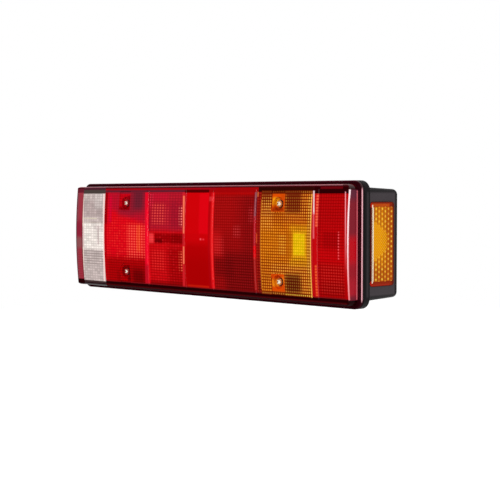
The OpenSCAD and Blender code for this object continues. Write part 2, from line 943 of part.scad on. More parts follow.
// Flat lead on the rear wall: along its lane, across to the bulb, and a sprung tongue under it
module feed(x, lane) {
    z = lane_z(lane);
    tongue_y = cap_back_y + 1.2 + gap;
    xa = x - lead_w / 2;
    xb = x + lead_w / 2 + tongue_over;
    color("#c9a24b") {
        block([min(x, inlet_x) - lead_w / 2, lead_front_y, z - lead_w / 2],
            [max(x, inlet_x) + lead_w / 2, floor_y, z + lead_w / 2]);
        block([x - lead_w / 2, lead_front_y, min(z, 0) - lead_w / 2],
            [x + lead_w / 2, floor_y, max(z, 0) + lead_w / 2]);
        translate([0, 0, -lead_w / 2])
            linear_extrude(lead_w)
                polygon([
                    [xa, lead_front_y],
                    [xa - tongue_lean, tongue_y],
                    [xb, tongue_y],
                    [xb, tongue_y + tongue_t],
                    [xa - tongue_lean + strip_t, tongue_y + tongue_t],
                    [xa + strip_t, lead_front_y]
                ]);
        blade(lane, lead_front_y);
    }
}

module earth_strip() {
    y0 = earth_back_y;
    z = lane_z(0);
    color("#c9a24b")
        difference() {
            union() {
                block([reverse_x, y0, -4], [position_x, y0 + strip_t, 4]);
                for (b = bowls)
                    shaft(b[0], 0, socket_flange_r, y0, y0 + strip_t);
                block([inlet_x - blade_w / 2, y0, z - strip_t / 2], [inlet_x + blade_w / 2, y0 + strip_t, 0]);
                blade(0, y0);
            }
            for (b = bowls)
                shaft(b[0], 0, socket_r + gap, y0 - cut, y0 + strip_t + cut);
        }
}

module inlet_rect(grow, y0, y1) {
    translate([inlet_x, 0, 0])
        outline_block(shell_w + 2 * grow, shell_l + 2 * grow, shell_r + grow, y0, y1);
}

module connector_shell() {
    color("#26262a")
        difference() {
            union() {
                inlet_rect(0, floor_y, back_y + 2);
                inlet_rect(shell_flange, back_y + 1, back_y + 3);
                inlet_rect(0, back_y + 1, shell_mouth_y);
                for (sx = [-1, 1])
                    block([inlet_x + sx * shell_w / 2 - 1, back_y + 2, -3],
                        [inlet_x + sx * shell_w / 2 + 1, shell_mouth_y - 3, 3]);
            }
            block([inlet_x - shell_w / 2 + shell_wall, back_y + shell_floor_t, -shell_l / 2 + shell_wall],
                [inlet_x + shell_w / 2 - shell_wall, shell_mouth_y + cut, shell_l / 2 - shell_wall]);
            for (lane = [0:6])
                block([inlet_x - blade_w / 2 - gap, floor_y - cut, lane_z(lane) - strip_t / 2 - gap],
                    [inlet_x + blade_w / 2 + gap, back_y + shell_floor_t + cut,
                        lane_z(lane) + strip_t / 2 + gap]);
        }
}

module connector_gasket() {
    color("#111111")
        difference() {
            inlet_rect(shell_flange - 0.5, back_y, back_y + 1);
            inlet_rect(gap, back_y - cut, back_y + 1 + cut);
        }
}

module vent_plug() {
    color("#2c2c30")
        difference() {
            union() {
                shaft(vent_x, vent_z, vent_r, floor_y - 2, back_y + cut);
                shaft(vent_x, vent_z, vent_r + 3, back_y, back_y + 2);
            }
            for (a = [0, 1])
                block([vent_x - (a == 0 ? vent_r + 4 : 0.5), back_y + 1.2, vent_z - (a == 0 ? 0.5 : vent_r + 4)],
                    [vent_x + (a == 0 ? vent_r + 4 : 0.5), back_y + 3, vent_z + (a == 0 ? 0.5 : vent_r + 4)]);
        }
}

// Rounded plate of the marker, inset at its sides and at its ends, its thickness along X
module marker_plate(side, end, r, x0, x1) {
    translate([x0, marker_mid_y, 0])
        rotate([90, 0, 90])
            linear_extrude(x1 - x0)
                rounded_rect(marker_w - 2 * side, marker_h - 2 * end, r);
}

module side_marker_lens() {
    x0 = marker_seat_x + marker_seal_t;
    x1 = x0 + marker_flange_t;
    x2 = x1 + marker_rise;
    inner_w = marker_w - 2 * marker_edge - 4;
    inner_h = marker_h - 2 * marker_end - 2 * marker_hollow_edge;
    n = floor(inner_w / flute_pitch);
    p = inner_w / n;
    color("#ffa000")
        difference() {
            union() {
                marker_plate(0, 0, marker_r, x0, x1);
                marker_plate(marker_edge, marker_end, marker_r - 1, x0, x2);
                for (sz = [-1, 1])
                    block([tub_l / 2 - 2 * wall, marker_mid_y - hook_w / 2,
                            sz * (marker_h / 2 - hook_edge) - hook_t / 2],
                        [x1, marker_mid_y + hook_w / 2, sz * (marker_h / 2 - hook_edge) + hook_t / 2]);
            }
            translate([0, marker_mid_y - inner_w / 2, -inner_h / 2])
                linear_extrude(inner_h)
                    polygon(concat(
                        [[x0 - 10, 0]],
                        [for (i = [0:n - 1], k = [0, 1])
                            [x2 - marker_skin + (k == 0 ? 0 : flute_depth), (i + k / 2) * p]],
                        [[x2 - marker_skin, inner_w], [x0 - 10, inner_w]]
                    ));
        }
}

module side_marker_gasket() {
    color("#111111")
        difference() {
            marker_plate(0.5, 0.5, marker_r - 0.5, marker_seat_x, marker_seat_x + marker_seal_t);
            marker_plate(4.5, 4.5, 2, marker_seat_x - cut, marker_seat_x + marker_seal_t + cut);
        }
}

module mounting_studs() {
    color("#b4b6ba")
        at_studs() {
            translate([0, floor_y - stud_head_t, 0])
                rotate([-90, 0, 0])
                    cylinder(h = stud_head_t, r = stud_head_w / 2 / cos(30), $fn = 6);
            shaft(0, 0, stud_neck_r, floor_y - cut, 0);
            shaft(0, 0, stud_r, -cut, stud_len - 1);
            translate([0, stud_len - 1, 0])
                rotate([-90, 0, 0])
                    cylinder(h = 1, r1 = stud_r, r2 = stud_r - 0.8);
        }
}

module stud_seals() {
    color("#151515")
        at_studs()
            difference() {
                shaft(0, 0, seat_r, -seat_depth, 0);
                shaft(0, 0, stud_neck_r + gap, -seat_depth - cut, cut);
            }
}

housing();
lens_gasket();
lens_body();
reverse_window();
indicator_window();
reflex_panel();
lens_screws();
screw_seals();
reflector_tray();
tray_screws();
bulb(reverse_x, globe_r, "#dfe6ea");  // reverse_bulb
bulb(fog_x, globe_r, "#dfe6ea");  // fog_bulb
bulb(tail_x, small_globe_r, "#dfe6ea");  // tail_bulb
bulb(stop_x, globe_r, "#dfe6ea");  // stop_bulb
bulb(indicator_x, globe_r, "#f0a040");  // indicator_bulb
bulb(position_x, small_globe_r, "#dfe6ea");  // position_bulb
socket(reverse_x);  // reverse_socket
socket(fog_x);  // fog_socket
socket(tail_x);  // tail_socket
socket(stop_x);  // stop_socket
socket(indicator_x);  // indicator_socket
socket(position_x);  // position_socket
earth_strip();
feed(reverse_x, 1);  // reverse_feed
feed(fog_x, 6);  // fog_feed
feed(tail_x, 5);  // tail_feed
feed(stop_x, 3);  // stop_feed
feed(indicator_x, 2);  // indicator_feed
feed(position_x, 4);  // position_feed
connector_shell();
connector_gasket();
vent_plug();
side_marker_lens();
side_marker_gasket();
mounting_studs();
stud_seals();
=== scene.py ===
import math

import bpy
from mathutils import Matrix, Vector


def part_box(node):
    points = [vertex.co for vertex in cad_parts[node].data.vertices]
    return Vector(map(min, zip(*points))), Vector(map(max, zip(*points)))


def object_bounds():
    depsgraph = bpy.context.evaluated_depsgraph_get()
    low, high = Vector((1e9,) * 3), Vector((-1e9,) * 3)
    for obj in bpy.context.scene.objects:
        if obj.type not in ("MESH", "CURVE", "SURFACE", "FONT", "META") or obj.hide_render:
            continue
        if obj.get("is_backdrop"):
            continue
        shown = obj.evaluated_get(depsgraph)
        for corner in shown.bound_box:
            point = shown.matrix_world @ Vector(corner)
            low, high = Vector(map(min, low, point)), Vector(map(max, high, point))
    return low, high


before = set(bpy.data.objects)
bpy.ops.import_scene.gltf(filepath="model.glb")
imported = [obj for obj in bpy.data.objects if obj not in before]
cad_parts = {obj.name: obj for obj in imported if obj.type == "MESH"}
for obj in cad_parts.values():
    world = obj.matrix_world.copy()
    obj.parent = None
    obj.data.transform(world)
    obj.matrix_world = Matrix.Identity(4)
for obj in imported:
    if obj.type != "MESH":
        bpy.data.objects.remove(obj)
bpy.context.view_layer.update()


# Studio: the lamp is held up at its four studs, in front of a white room and over a pale floor.
# The camera looks at the right end of the lens from a little above its middle. A dark curtain
# stands in the left half of the room, where the lens's front mirrors the studio.
def fill_sockets(tree, node, sockets):
    """Links or sets each named socket of a node, as its value asks."""
    for name, value in sockets.items():
        if isinstance(value, bpy.types.NodeSocket):
            tree.links.new(value, node.inputs[name])
        else:
            node.inputs[name].default_value = value


def shader_node(tree, kind, sockets, out=0, **settings):
    node = tree.nodes.new("ShaderNode" + kind)
    for name, value in settings.items():
        setattr(node, name, value)
    fill_sockets(tree, node, sockets)
    return node.outputs[out]


def calc(tree, operation, *values):
    return shader_node(tree, "Math", dict(enumerate(values)), operation=operation)


def white_for_views(tree):
    """1 where the camera, a mirror or a clear piece sees the surface, and 0 where it only gives light."""
    path = tree.nodes.new("ShaderNodeLightPath")
    seen = calc(tree, "MAXIMUM", path.outputs["Is Camera Ray"], path.outputs["Is Glossy Ray"])
    return calc(tree, "MAXIMUM", seen, path.outputs["Is Transmission Ray"])


scene = bpy.context.scene
scene.view_settings.view_transform = "Standard"
camera = bpy.data.objects.new("camera", bpy.data.cameras.new("camera"))
scene.collection.objects.link(camera)
CAMERA_TURN, CAMERA_DIP = math.radians(45.21), math.radians(2.51)
camera.location = (0.9959, -0.9925, 0.0475)
camera.rotation_euler = (math.pi / 2 - CAMERA_DIP, 0, CAMERA_TURN)
camera.data.sensor_width = 36
camera.data.lens = 85.36
scene.camera = camera

ROOM_LIGHT = 0.62
room = bpy.data.worlds.new("white_room")
room.use_nodes = True
room.node_tree.nodes.clear()
background = room.node_tree.nodes.new("ShaderNodeBackground")
background.inputs["Color"].default_value = (1, 1, 1, 1)
level = shader_node(room.node_tree, "MapRange",
                    {"Value": white_for_views(room.node_tree), "To Min": ROOM_LIGHT, "To Max": 1.0})
room.node_tree.links.new(level, background.inputs["Strength"])
room_out = room.node_tree.nodes.new("ShaderNodeOutputWorld")
room.node_tree.links.new(background.outputs[0], room_out.inputs["Surface"])
scene.world = room


def soft_lamp(name, spot, target, width, height, watts):
    lamp = bpy.data.lights.new(name, "AREA")
    lamp.shape = "RECTANGLE"
    lamp.size, lamp.size_y = width, height
    lamp.energy = watts
    holder = bpy.data.objects.new(name, lamp)
    holder.location = spot
    holder.rotation_euler = (Vector(target) - Vector(spot)).to_track_quat("-Z", "Y").to_euler()
    scene.collection.objects.link(holder)


soft_lamp("front_box", (0.2, -1.9, 1.3), (0, -0.05, 0), 1.2, 0.8, 19)
soft_lamp("right_box", (2.1, -0.5, 0.5), (0.2, -0.05, 0), 0.5, 1.2, 9)


def stage_mesh(name, points, faces):
    mesh = bpy.data.meshes.new(name)
    mesh.from_pydata(points, [], faces)
    piece = bpy.data.objects.new(name, mesh)
    scene.collection.objects.link(piece)
    piece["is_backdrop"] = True
    return piece


def finish_named(name):
    material = bpy.data.materials.new(name)
    material.use_nodes = True
    tree = material.node_tree
    tree.nodes.clear()
    shader = tree.nodes.new("ShaderNodeBsdfPrincipled")
    out = tree.nodes.new("ShaderNodeOutputMaterial")
    tree.links.new(shader.outputs[0], out.inputs["Surface"])
    return material, tree, shader


FLOOR_Z, FLOOR_REACH = -0.5, 4
FLOOR_GLOW = 0.5
floor = stage_mesh("floor", [(-FLOOR_REACH, -FLOOR_REACH, FLOOR_Z), (FLOOR_REACH, -FLOOR_REACH, FLOOR_Z),
                             (FLOOR_REACH, FLOOR_REACH, FLOOR_Z), (-FLOOR_REACH, FLOOR_REACH, FLOOR_Z)],
                   [(0, 1, 2, 3)])
floor_paint, tree, shader = finish_named("floor_paint")
fill_sockets(tree, shader, {"Base Color": (0.9, 0.9, 0.9, 1), "Roughness": 0.9, "Specular IOR Level": 0.1,
                            "Emission Color": (1, 1, 1, 1),
                            "Emission Strength": calc(tree, "MULTIPLY", white_for_views(tree), FLOOR_GLOW)})
floor.data.materials.append(floor_paint)

CURTAIN_RADIUS, CURTAIN_TOP = 1.3, 1.6
CURTAIN_START, CURTAIN_SWEEP, CURTAIN_STEPS = math.radians(-105), math.radians(130), 24
curtain_points, curtain_faces = [], []
for step in range(CURTAIN_STEPS + 1):
    angle = CURTAIN_START + CURTAIN_SWEEP * step / CURTAIN_STEPS
    x, y = CURTAIN_RADIUS * math.sin(angle), -CURTAIN_RADIUS * math.cos(angle)
    curtain_points += [(x, y, FLOOR_Z), (x, y, CURTAIN_TOP)]
for step in range(CURTAIN_STEPS):
    curtain_faces.append((2 * step, 2 * step + 1, 2 * step + 3, 2 * step + 2))
curtain = stage_mesh("curtain", curtain_points, curtain_faces)
curtain.visible_camera = False
curtain.visible_diffuse = False
curtain.visible_shadow = False
curtain_cloth, tree, shader = finish_named("curtain_cloth")
fill_sockets(tree, shader, {"Base Color": (0.01, 0.01, 0.01, 1), "Roughness": 1, "Specular IOR Level": 0})
curtain.data.materials.append(curtain_cloth)


# Housing: one black plastic moulding, the tub with its rim, pillars, bosses and rear ribs. Its
# flats have the fine grain of the mould, and its rim and corners come out of it smooth. The rim
# and back edge are painted near-black, and the top and bottom corners of the end walls get
# painted shade.
def tint(red, green, blue):
    """Display colour, 0 to 255, as the linear colour that a socket takes."""
    parts = [c / 255 for c in (red, green, blue)]
    return [c / 12.92 if c <= 0.04045 else ((c + 0.055) / 1.055) ** 2.4 for c in parts] + [1]


def mix_tint(tree, share, first, second):
    return shader_node(tree, "Mix", {0: share, 6: first, 7: second}, out=2, data_type="RGBA")


def ramp_up(tree, value, low, high):
    return shader_node(tree, "MapRange", {"Value": value, "From Min": low, "From Max": high},
                       interpolation_type="SMOOTHSTEP")


def opposite(tree, mask):
    return calc(tree, "SUBTRACT", 1.0, mask)


def ramp_down(tree, value, low, high):
    return opposite(tree, ramp_up(tree, value, low, high))


MM = 0.001


def millimetres(tree):
    """Place on the lamp in millimetres: X along it, Y along its depth, Z up."""
    spot = tree.nodes.new("ShaderNodeTexCoord").outputs["Object"]
    scaled = shader_node(tree, "VectorMath", {0: spot, "Scale": 1 / MM}, operation="SCALE")
    split = tree.nodes.new("ShaderNodeSeparateXYZ")
    tree.links.new(scaled, split.inputs[0])
    return split.outputs["X"], split.outputs["Y"], split.outputs["Z"]


def shader_group(name, takes, gives):
    """A node group with float sockets, and the sockets that its inside takes from and puts into."""
    group = bpy.data.node_groups.new(name, "ShaderNodeTree")
    for socket in takes:
        group.interface.new_socket(name=socket, in_out="INPUT", socket_type="NodeSocketFloat")
    for socket in gives:
        group.interface.new_socket(name=socket, in_out="OUTPUT", socket_type="NodeSocketFloat")
    return group, group.nodes.new("NodeGroupInput").outputs, group.nodes.new("NodeGroupOutput").inputs


def place(tree, group, sockets, label=""):
    node = tree.nodes.new("ShaderNodeGroup")
    node.node_tree = group
    node.label = label
    fill_sockets(tree, node, sockets)
    return node.outputs


# Skin of a mould: fine grain and slow clouds, each from 0 to 1
mould_grain, got, put = shader_group("mould_grain", ["Size", "Coarse Size"], ["Grain", "Cloud"])
spot = mould_grain.nodes.new("ShaderNodeTexCoord").outputs["Object"]
for socket, size, detail in (("Grain", "Size", 3.0), ("Cloud", "Coarse Size", 2.0)):
    noise = shader_node(mould_grain, "TexNoise", {"Vector": spot, "Detail": detail,
                                                  "Scale": calc(mould_grain, "DIVIDE", 1.0, got[size])})
    mould_grain.links.new(noise, put[socket])


def around(tree, value, middle, spread):
    """A number that wanders as much as the spread round its middle, as the value goes from 0 to 1."""
    return calc(tree, "MULTIPLY_ADD", value, spread, middle - spread / 2)


def raised(tree, shader, height, strength, depth):
    bump = shader_node(tree, "Bump", {"Height": height, "Strength": strength, "Distance": depth})
    tree.links.new(bump, shader.inputs["Normal"])


def grained(name, dark, light, rough, size, bump_depth, gloss=0.5, edge_finish_and_shade=None):
    """A plastic or rubber with mould grain, a little uneven in colour and gloss."""
    material, tree, shader = finish_named(name)
    grain = place(tree, mould_grain, {"Size": size, "Coarse Size": 0.035})
    uneven = calc(tree, "MULTIPLY_ADD", grain["Cloud"], 0.7, calc(tree, "MULTIPLY", grain["Grain"], 0.3))
    colour = mix_tint(tree, uneven, tint(*dark), tint(*light))
    if edge_finish_and_shade:
        colour = edge_finish_and_shade(tree, colour)
    fill_sockets(tree, shader, {"Base Color": colour, "Specular IOR Level": gloss,
                                "Roughness": around(tree, grain["Cloud"], rough, 0.16)})
    raised(tree, shader, grain["Grain"], 0.3, bump_depth)
    return material


def dress(names, material):
    for name in names:
        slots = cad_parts[name].data.materials
        slots.clear()
        slots.append(material)


def polished_edges_and_corner_shade(tree, colour):
    """The rim and rounded back edge come black and smooth from the mould, the flats grey, and the end
    walls' top and bottom corners get painted shade.
    """
    x, y, z = millimetres(tree)
    off_x, off_z = calc(tree, "ABSOLUTE", x), calc(tree, "ABSOLUTE", z)
    rim_back = -60.5
    colour = mix_tint(tree, ramp_down(tree, y, rim_back - 1, rim_back + 1), colour, tint(12, 10, 11))
    skirt = calc(tree, "MULTIPLY", ramp_up(tree, y, -67.0, -65.5), ramp_down(tree, y, -64.0, -62.0))
    colour = mix_tint(tree, calc(tree, "MULTIPLY", skirt, 0.8), colour, tint(52, 47, 50))
    # painted shade: the top and bottom corners of the end walls are darkened
    corner = calc(tree, "MULTIPLY", ramp_up(tree, off_x, 214.0, 218.0), ramp_up(tree, off_z, 51.5, 55.0))
    back_edge = calc(tree, "MULTIPLY", ramp_up(tree, y, -11.5, -8.0), ramp_down(tree, y, -4.4, -3.4))
    return mix_tint(tree, calc(tree, "MAXIMUM", corner, back_edge), colour, tint(18, 15, 17))


dress(["housing"], grained("black_plastic", (58, 52, 56), (74, 68, 71), 0.5, 0.0007, 0.00004,
                           gloss=0.06, edge_finish_and_shade=polished_edges_and_corner_shade))


# Mounting studs and tray screws: turned steel with a dull zinc plating. The studs' heads lie
# inside the rear wall, and the tray's screws go into four pillars of the tub.
def plated(name, clean, dull, rough, grain_size):
    """A bright metal surface, clouded and finely scratched."""
    material, tree, shader = finish_named(name)
    grain = place(tree, mould_grain, {"Size": grain_size, "Coarse Size": 0.006})
    colour = mix_tint(tree, ramp_up(tree, grain["Cloud"], 0.35, 0.75), tint(*clean), tint(*dull))
    fill_sockets(tree, shader, {"Base Color": colour, "Metallic": 1.0,
                                "Roughness": around(tree, grain["Grain"], rough, 0.18)})
    return material


dress(["mounting_studs", "tray_screws"],
      plated("zinc_steel", (196, 198, 202), (160, 162, 164), 0.34, 0.0006))


# Rear inlet and breather: moulded in a harder grey plastic. The inlet goes into the rear wall from
# behind, with its flange on a gasket, and the breather is pushed into a hole below the lead strips.
dress(["connector_shell", "vent_plug"],
      grained("grey_plastic", (70, 71, 73), (92, 93, 95), 0.42, 0.0006, 0.00003))


# Seals: soft black rubber, matt and dusty in its pores. They are pressed under the lens, the
# screw heads, the inlet and the side marker, and pushed over the studs.
dress(["lens_gasket", "screw_seals", "connector_gasket", "side_marker_gasket", "stud_seals"],
      grained("seal_rubber", (18, 17, 18), (34, 32, 33), 0.78, 0.0005, 0.00003, gloss=0.25))


# Bulb sockets and lead strips: stamped and rolled brass. Each strip runs flat on the rear wall
# from its socket to its own blade in the inlet.
sockets = [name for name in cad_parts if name.endswith("_socket")]
leads = [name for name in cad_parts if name.endswith("_feed") or name == "earth_strip"]
dress(sockets + leads, plated("brass", (214, 178, 104), (176, 134, 72), 0.3, 0.0008))


# Bulbs: blown glass globe on a nickel cap with two bayonet pins, which turn into the slots of
# the socket. The globe of the indicator is dipped amber.
def bulb_glass(name, glass):
    material, tree, shader = finish_named(name)
    _, y, _ = millimetres(tree)
    cap_edge = -27.5
    cap = ramp_up(tree, y, cap_edge - 0.5, cap_edge + 0.5)
    smear = place(tree, mould_grain, {"Size": 0.004, "Coarse Size": 0.012})
    metal = mix_tint(tree, smear["Cloud"], tint(190, 186, 176), tint(150, 146, 138))
    smudges = calc(tree, "MULTIPLY", smear["Grain"], 0.08)
    fill_sockets(tree, shader, {"Base Color": mix_tint(tree, cap, tint(*glass), metal),
                                "Roughness": calc(tree, "MULTIPLY_ADD", cap, 0.3, smudges),
                                "Transmission Weight": 0.8, "IOR": 1.46})
    return material


clear_bulbs = [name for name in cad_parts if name.endswith("_bulb") and name != "indicator_bulb"]
dress(clear_bulbs, bulb_glass("clear_bulb", (244, 248, 250)))
dress(["indicator_bulb"], bulb_glass("amber_bulb", (250, 170, 60)))


# Reflector tray: one thin moulding of bowls and chamber walls, silvered all over and screwed to
# four pillars of the tub.
dress(["reflector_tray"], plated("silvered_plastic", (236, 238, 240), (212, 214, 218), 0.16, 0.002))


# Reflector plate: a red prism sheet behind the lens, moulded smooth on its front, with a grid of
# small square prisms on its back.

# Moulded prism cells: the grooves between them, a glint in each, a number for each, and their height
prism_cells, got, put = shader_group("prism_cells", ["Across", "Up", "Pitch Across", "Pitch Up"],
                                     ["Groove Across", "Groove Up", "Glint", "Chance", "Height"])
cell_number, off_centre = {}, {}
for axis in ("Across", "Up"):
    count = calc(prism_cells, "DIVIDE", got[axis], got["Pitch " + axis])
    cell_number[axis] = calc(prism_cells, "FLOOR", count)
    offset = calc(prism_cells, "SUBTRACT", calc(prism_cells, "FRACT", count), 0.5)
    off_centre[axis] = calc(prism_cells, "POWER", offset, 2.0)
    groove = ramp_up(prism_cells, calc(prism_cells, "ABSOLUTE", offset), 0.2, 0.48)
    prism_cells.links.new(groove, put["Groove " + axis])
number = shader_node(prism_cells, "CombineXYZ", {"X": cell_number["Across"], "Y": cell_number["Up"]})
chance = shader_node(prism_cells, "TexWhiteNoise", {"Vector": number}, noise_dimensions="2D")
bulge = calc(prism_cells, "ADD", off_centre["Across"], off_centre["Up"])
glint = ramp_down(prism_cells, calc(prism_cells, "SQRT", bulge), 0.1, 0.42)
prism_cells.links.new(glint, put["Glint"])
prism_cells.links.new(chance, put["Chance"])
prism_cells.links.new(calc(prism_cells, "SUBTRACT", 0.5, bulge), put["Height"])


def cells_at(tree, across, up, pitch_across, pitch_up):
    return place(tree, prism_cells, {"Across": across, "Up": up, "Pitch Across": pitch_across,
                                     "Pitch Up": pitch_up})


reflex_red, tree, shader = finish_named("reflex_red")
x, _, z = millimetres(tree)
PRISM_PITCH = 5.5
cells = cells_at(tree, x, z, PRISM_PITCH, PRISM_PITCH)
colour = mix_tint(tree, cells["Groove Up"], tint(186, 12, 16), tint(120, 4, 8))
colour = mix_tint(tree, calc(tree, "MULTIPLY", cells["Glint"], cells["Chance"]), colour, tint(226, 60, 60))
fill_sockets(tree, shader, {"Base Color": colour, "Roughness": 0.25})
dress(["reflex_panel"], reflex_red)


# Red lens: one moulding of clear red plastic, with a smooth crowned front, half-round ribs between
# its sections and prism cells behind them. The stop section is plain. The flange round it sits on
# the rubber ring in the rim.

# Soft-edged rectangle on a face, as a mask
patch, got, put = shader_group("patch", ["Across", "Up", "Left", "Right", "Low", "High", "Soft"], ["Mask"])
sides = []
for value, low, high in (("Across", "Left", "Right"), ("Up", "Low", "High")):
    for limit, fade in ((low, ramp_up), (high, ramp_down)):
        start = calc(patch, "SUBTRACT", got[limit], got["Soft"])
        end = calc(patch, "ADD", got[limit], got["Soft"])
        sides.append(fade(patch, got[value], start, end))
patch.links.new(calc(patch, "MULTIPLY", calc(patch, "MULTIPLY", sides[0], sides[1]),
                     calc(patch, "MULTIPLY", sides[2], sides[3])), put["Mask"])


def area(tree, label, across, up, left, right, low, high, soft):
    edges = {"Left": left, "Right": right, "Low": low, "High": high, "Soft": soft}
    return place(tree, patch, {"Across": across, "Up": up, **edges}, label)["Mask"]


def band(tree, value, low, high, soft=0.5):
    """Mask of a long band with soft edges."""
    return calc(tree, "MULTIPLY", ramp_up(tree, value, low - soft, low + soft),
                ramp_down(tree, value, high - soft, high + soft))


def after(tree, colour, value):
    """The value, with a trace of the colour so far, which makes Cycles work it out after that colour.
    A long row of patches worked out all at once would be more than one shader holds."""
    if not isinstance(colour, bpy.types.NodeSocket):
        return value
    trace = 1e-6
    return calc(tree, "MULTIPLY_ADD", colour, trace, value)


def lay(tree, colour, across, up, patches, pattern=None):
    """Lays soft patches over a colour, one after the other, whole or through a pattern. Each patch is
    what it shows, its left, right, low and high edges and their softness in millimetres, its tint
    and its share."""
    for label, left, right, low, high, soft, shade, share in patches:
        mask = area(tree, label, after(tree, colour, across), after(tree, colour, up),
                    left, right, low, high, soft)
        if pattern is not None:
            mask = calc(tree, "MULTIPLY", mask, pattern)
        colour = mix_tint(tree, calc(tree, "MULTIPLY", mask, share), colour, tint(*shade))
    return colour


def bowed(tree, along, up):
    """Place along the lamp, following the slight bow of the ribs towards their ends."""
    return calc(tree, "MULTIPLY_ADD", calc(tree, "MULTIPLY", up, up), 0.0008, along)


def polished_skin(tree, shader, colour, rough, coat, coat_rough):
    """Polished moulding: its clear skin mirrors the room, and the depth painted under it doesn't."""
    fill_sockets(tree, shader, {"Base Color": colour, "Roughness": rough, "Specular IOR Level": 0.0,
                                "Coat Weight": coat, "Coat Roughness": coat_rough})


# The lens is painted opaque. Besides the sections' own tints, many of its patches below are painted glow,
# reflections, highlights and shade.
red_lens, tree, shader = finish_named("red_lens")
x, y, z = millimetres(tree)
lens_left, lens_right = (corner.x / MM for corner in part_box("lens_body"))
lens_length = lens_right - lens_left
sections = tree.nodes.new("ShaderNodeValToRGB")
sections.color_ramp.interpolation = "CONSTANT"
tree.links.new(calc(tree, "DIVIDE", calc(tree, "SUBTRACT", x, lens_left), lens_length), sections.inputs[0])
stops = sections.color_ramp.elements
stops.remove(stops[-1])
stops[0].color = tint(138, 66, 76)
# left borders of the fog, tail, stop and reflector sections, the strip, the bead and the end section
for border_x, shade in ((-213, (230, 8, 24)), (-83.5, (208, 10, 17)), (-20, (206, 2, 8)),
                        (23, (152, 10, 11)), (95.5, (142, 14, 11)), (175.5, (192, 8, 14)),
                        (185, (182, 4, 7))):
    stops.new((border_x - lens_left) / lens_length).color = tint(*shade)
# end strip: purple above, redder at the middle, a painted reflection of the silvered tray wall in grey, and
# painted shade in its dark left corner
colour = lay(tree, sections.outputs[0], x, z, [
    ("strip over the tray", -222, -214, -62, 62, 2, (166, 46, 62), 0.75),
    ("redder middle", -228, -214, -2, 19, 5, (140, 28, 52), 0.8),
    ("tray wall behind it", -228, -214, -15, -2, 3, (140, 84, 86), 0.8),
    ("dark left corner", -232, -225.2, -62, 62, 1.2, (40, 8, 18), 0.9),
    ("joint with the clear panel", -214.6, -212, -62, 14, 0.7, (104, 18, 32), 0.8),
])
# fog section: painted shade beside the clear section and below, with a painted shadow at its lower right,
# the bowl's painted glow, and a painted reflection above it on a slant
colour = lay(tree, colour, x, z, [
    ("shade at the clear panel", -169, -164.5, -56, 56, 2, (176, 2, 9), 0.8),
    ("deeper shade above", -169, -163.5, 16, 56, 2, (146, 0, 8), 0.85),
    ("lower part", -166, -88, -62, -24, 6, (172, 3, 5), 0.9),
    ("dark lower right", -117, -93, -58, -37, 7, (92, 1, 3), 0.75),
    ("shade below the screw", -145, -125, -60, -40, 5, (140, 2, 4), 0.7),
    ("glow of the bulb", -124, -91, -19, 14, 5, (246, 30, 34), 0.8),
])
slanted = calc(tree, "MULTIPLY_ADD", calc(tree, "ADD", x, 95.0), 0.25, z)
colour = lay(tree, colour, x, slanted, [
    ("painted reflection above the bulb", -162, -84, 18, 90, 5, (186, 18, 44), 0.85),
])
# painted reflections: a pink streak left of the screw, purple round the screw, and darker purple at the rib
colour = lay(tree, colour, x, z, [
    ("streak left of the screw", -160.5, -155, 18, 50, 2, (220, 6, 50), 0.8),
    ("painted reflection round the screw", -142, -112, 26, 58, 6, (152, 26, 46), 0.7),
    ("dark painted reflection at the rib", -116, -93, 31, 60, 8, (108, 32, 48), 0.95),
])
# sunk plain patches round the screws, with painted shade on their right and lower walls
colour = lay(tree, colour, x, z, [
    ("upper patch", -141, -120.5, 33.5, 52.5, 0.7, (206, 3, 20), 0.95),
    ("its right wall", -127, -120.5, 33.5, 50, 1.5, (140, 0, 12), 0.9),
    ("its lower wall", -141, -120.5, 33, 37, 1.2, (150, 0, 8), 0.8),
    ("lower patch", -141, -120.5, -53, -33.5, 0.7, (186, 1, 6), 0.9),
    ("its right wall", -127, -120.5, -53, -33.5, 1.5, (112, 0, 3), 0.9),
])
# tail section: painted reflection above, with a pink streak of it at the top, the dark channel of the
# bulb's holder with a painted shadow in it, painted shade at the bottom and lower right, and the painted
# glow beside it
colour = lay(tree, colour, x, z, [
    ("painted reflection above", -84, -20, 10, 56, 4, (180, 24, 44), 0.9),
    ("streak at the top", -78, -50, 45, 53, 3, (206, 18, 48), 0.7),
    ("darker painted reflection", -46, -24, 11, 44, 6, (160, 20, 42), 0.7),
    ("lower right", -50, -20, -62, -8, 8, (166, 3, 6), 0.8),
    ("shade at the bottom", -84, -20, -62, -50, 3, (140, 4, 6), 0.8),
    ("channel", -73, -20, -5, 6, 0.9, (160, 1, 6), 1.0),
    ("its darker right end", -44, -20, -5, 6, 2, (144, 1, 4), 0.9),
    ("shadow in it", -73, -60, -5, -0.5, 1.5, (108, 0, 4), 0.8),
    ("glow beside it", -83, -75, -5, 5.5, 2.2, (254, 62, 66), 0.95),
])
# stop section: plain, in steps: lighter on its upper step, with painted shade below the bulb and at the
# rib, and the bulb's two painted highlights
colour = lay(tree, colour, x, z, [
    ("bright upper step", 4, 20, 7, 53, 2, (224, 3, 18), 0.8),
    ("lower half", -19, 23, -62, 7, 1, (200, 2, 8), 0.8),
    ("darker below the bulb", -19, 23, -62, -4, 6, (176, 0, 3), 0.9),
    ("darkest part", -19, 23, -62, -20, 10, (170, 0, 2), 0.9),
    ("line at the bottom", -17, 19, -53.6, -51.4, 0.6, (196, 26, 10), 0.9),
    ("left spark of the bulb", 6, 8.6, 0, 2, 0.7, (250, 80, 90), 0.9),
    ("right spark of the bulb", 10.5, 13.5, 0, 1.8, 0.7, (240, 50, 60), 0.8),
    ("shade at the rib", 19.4, 23, -56, 54, 0.8, (170, 4, 12), 0.75),
])
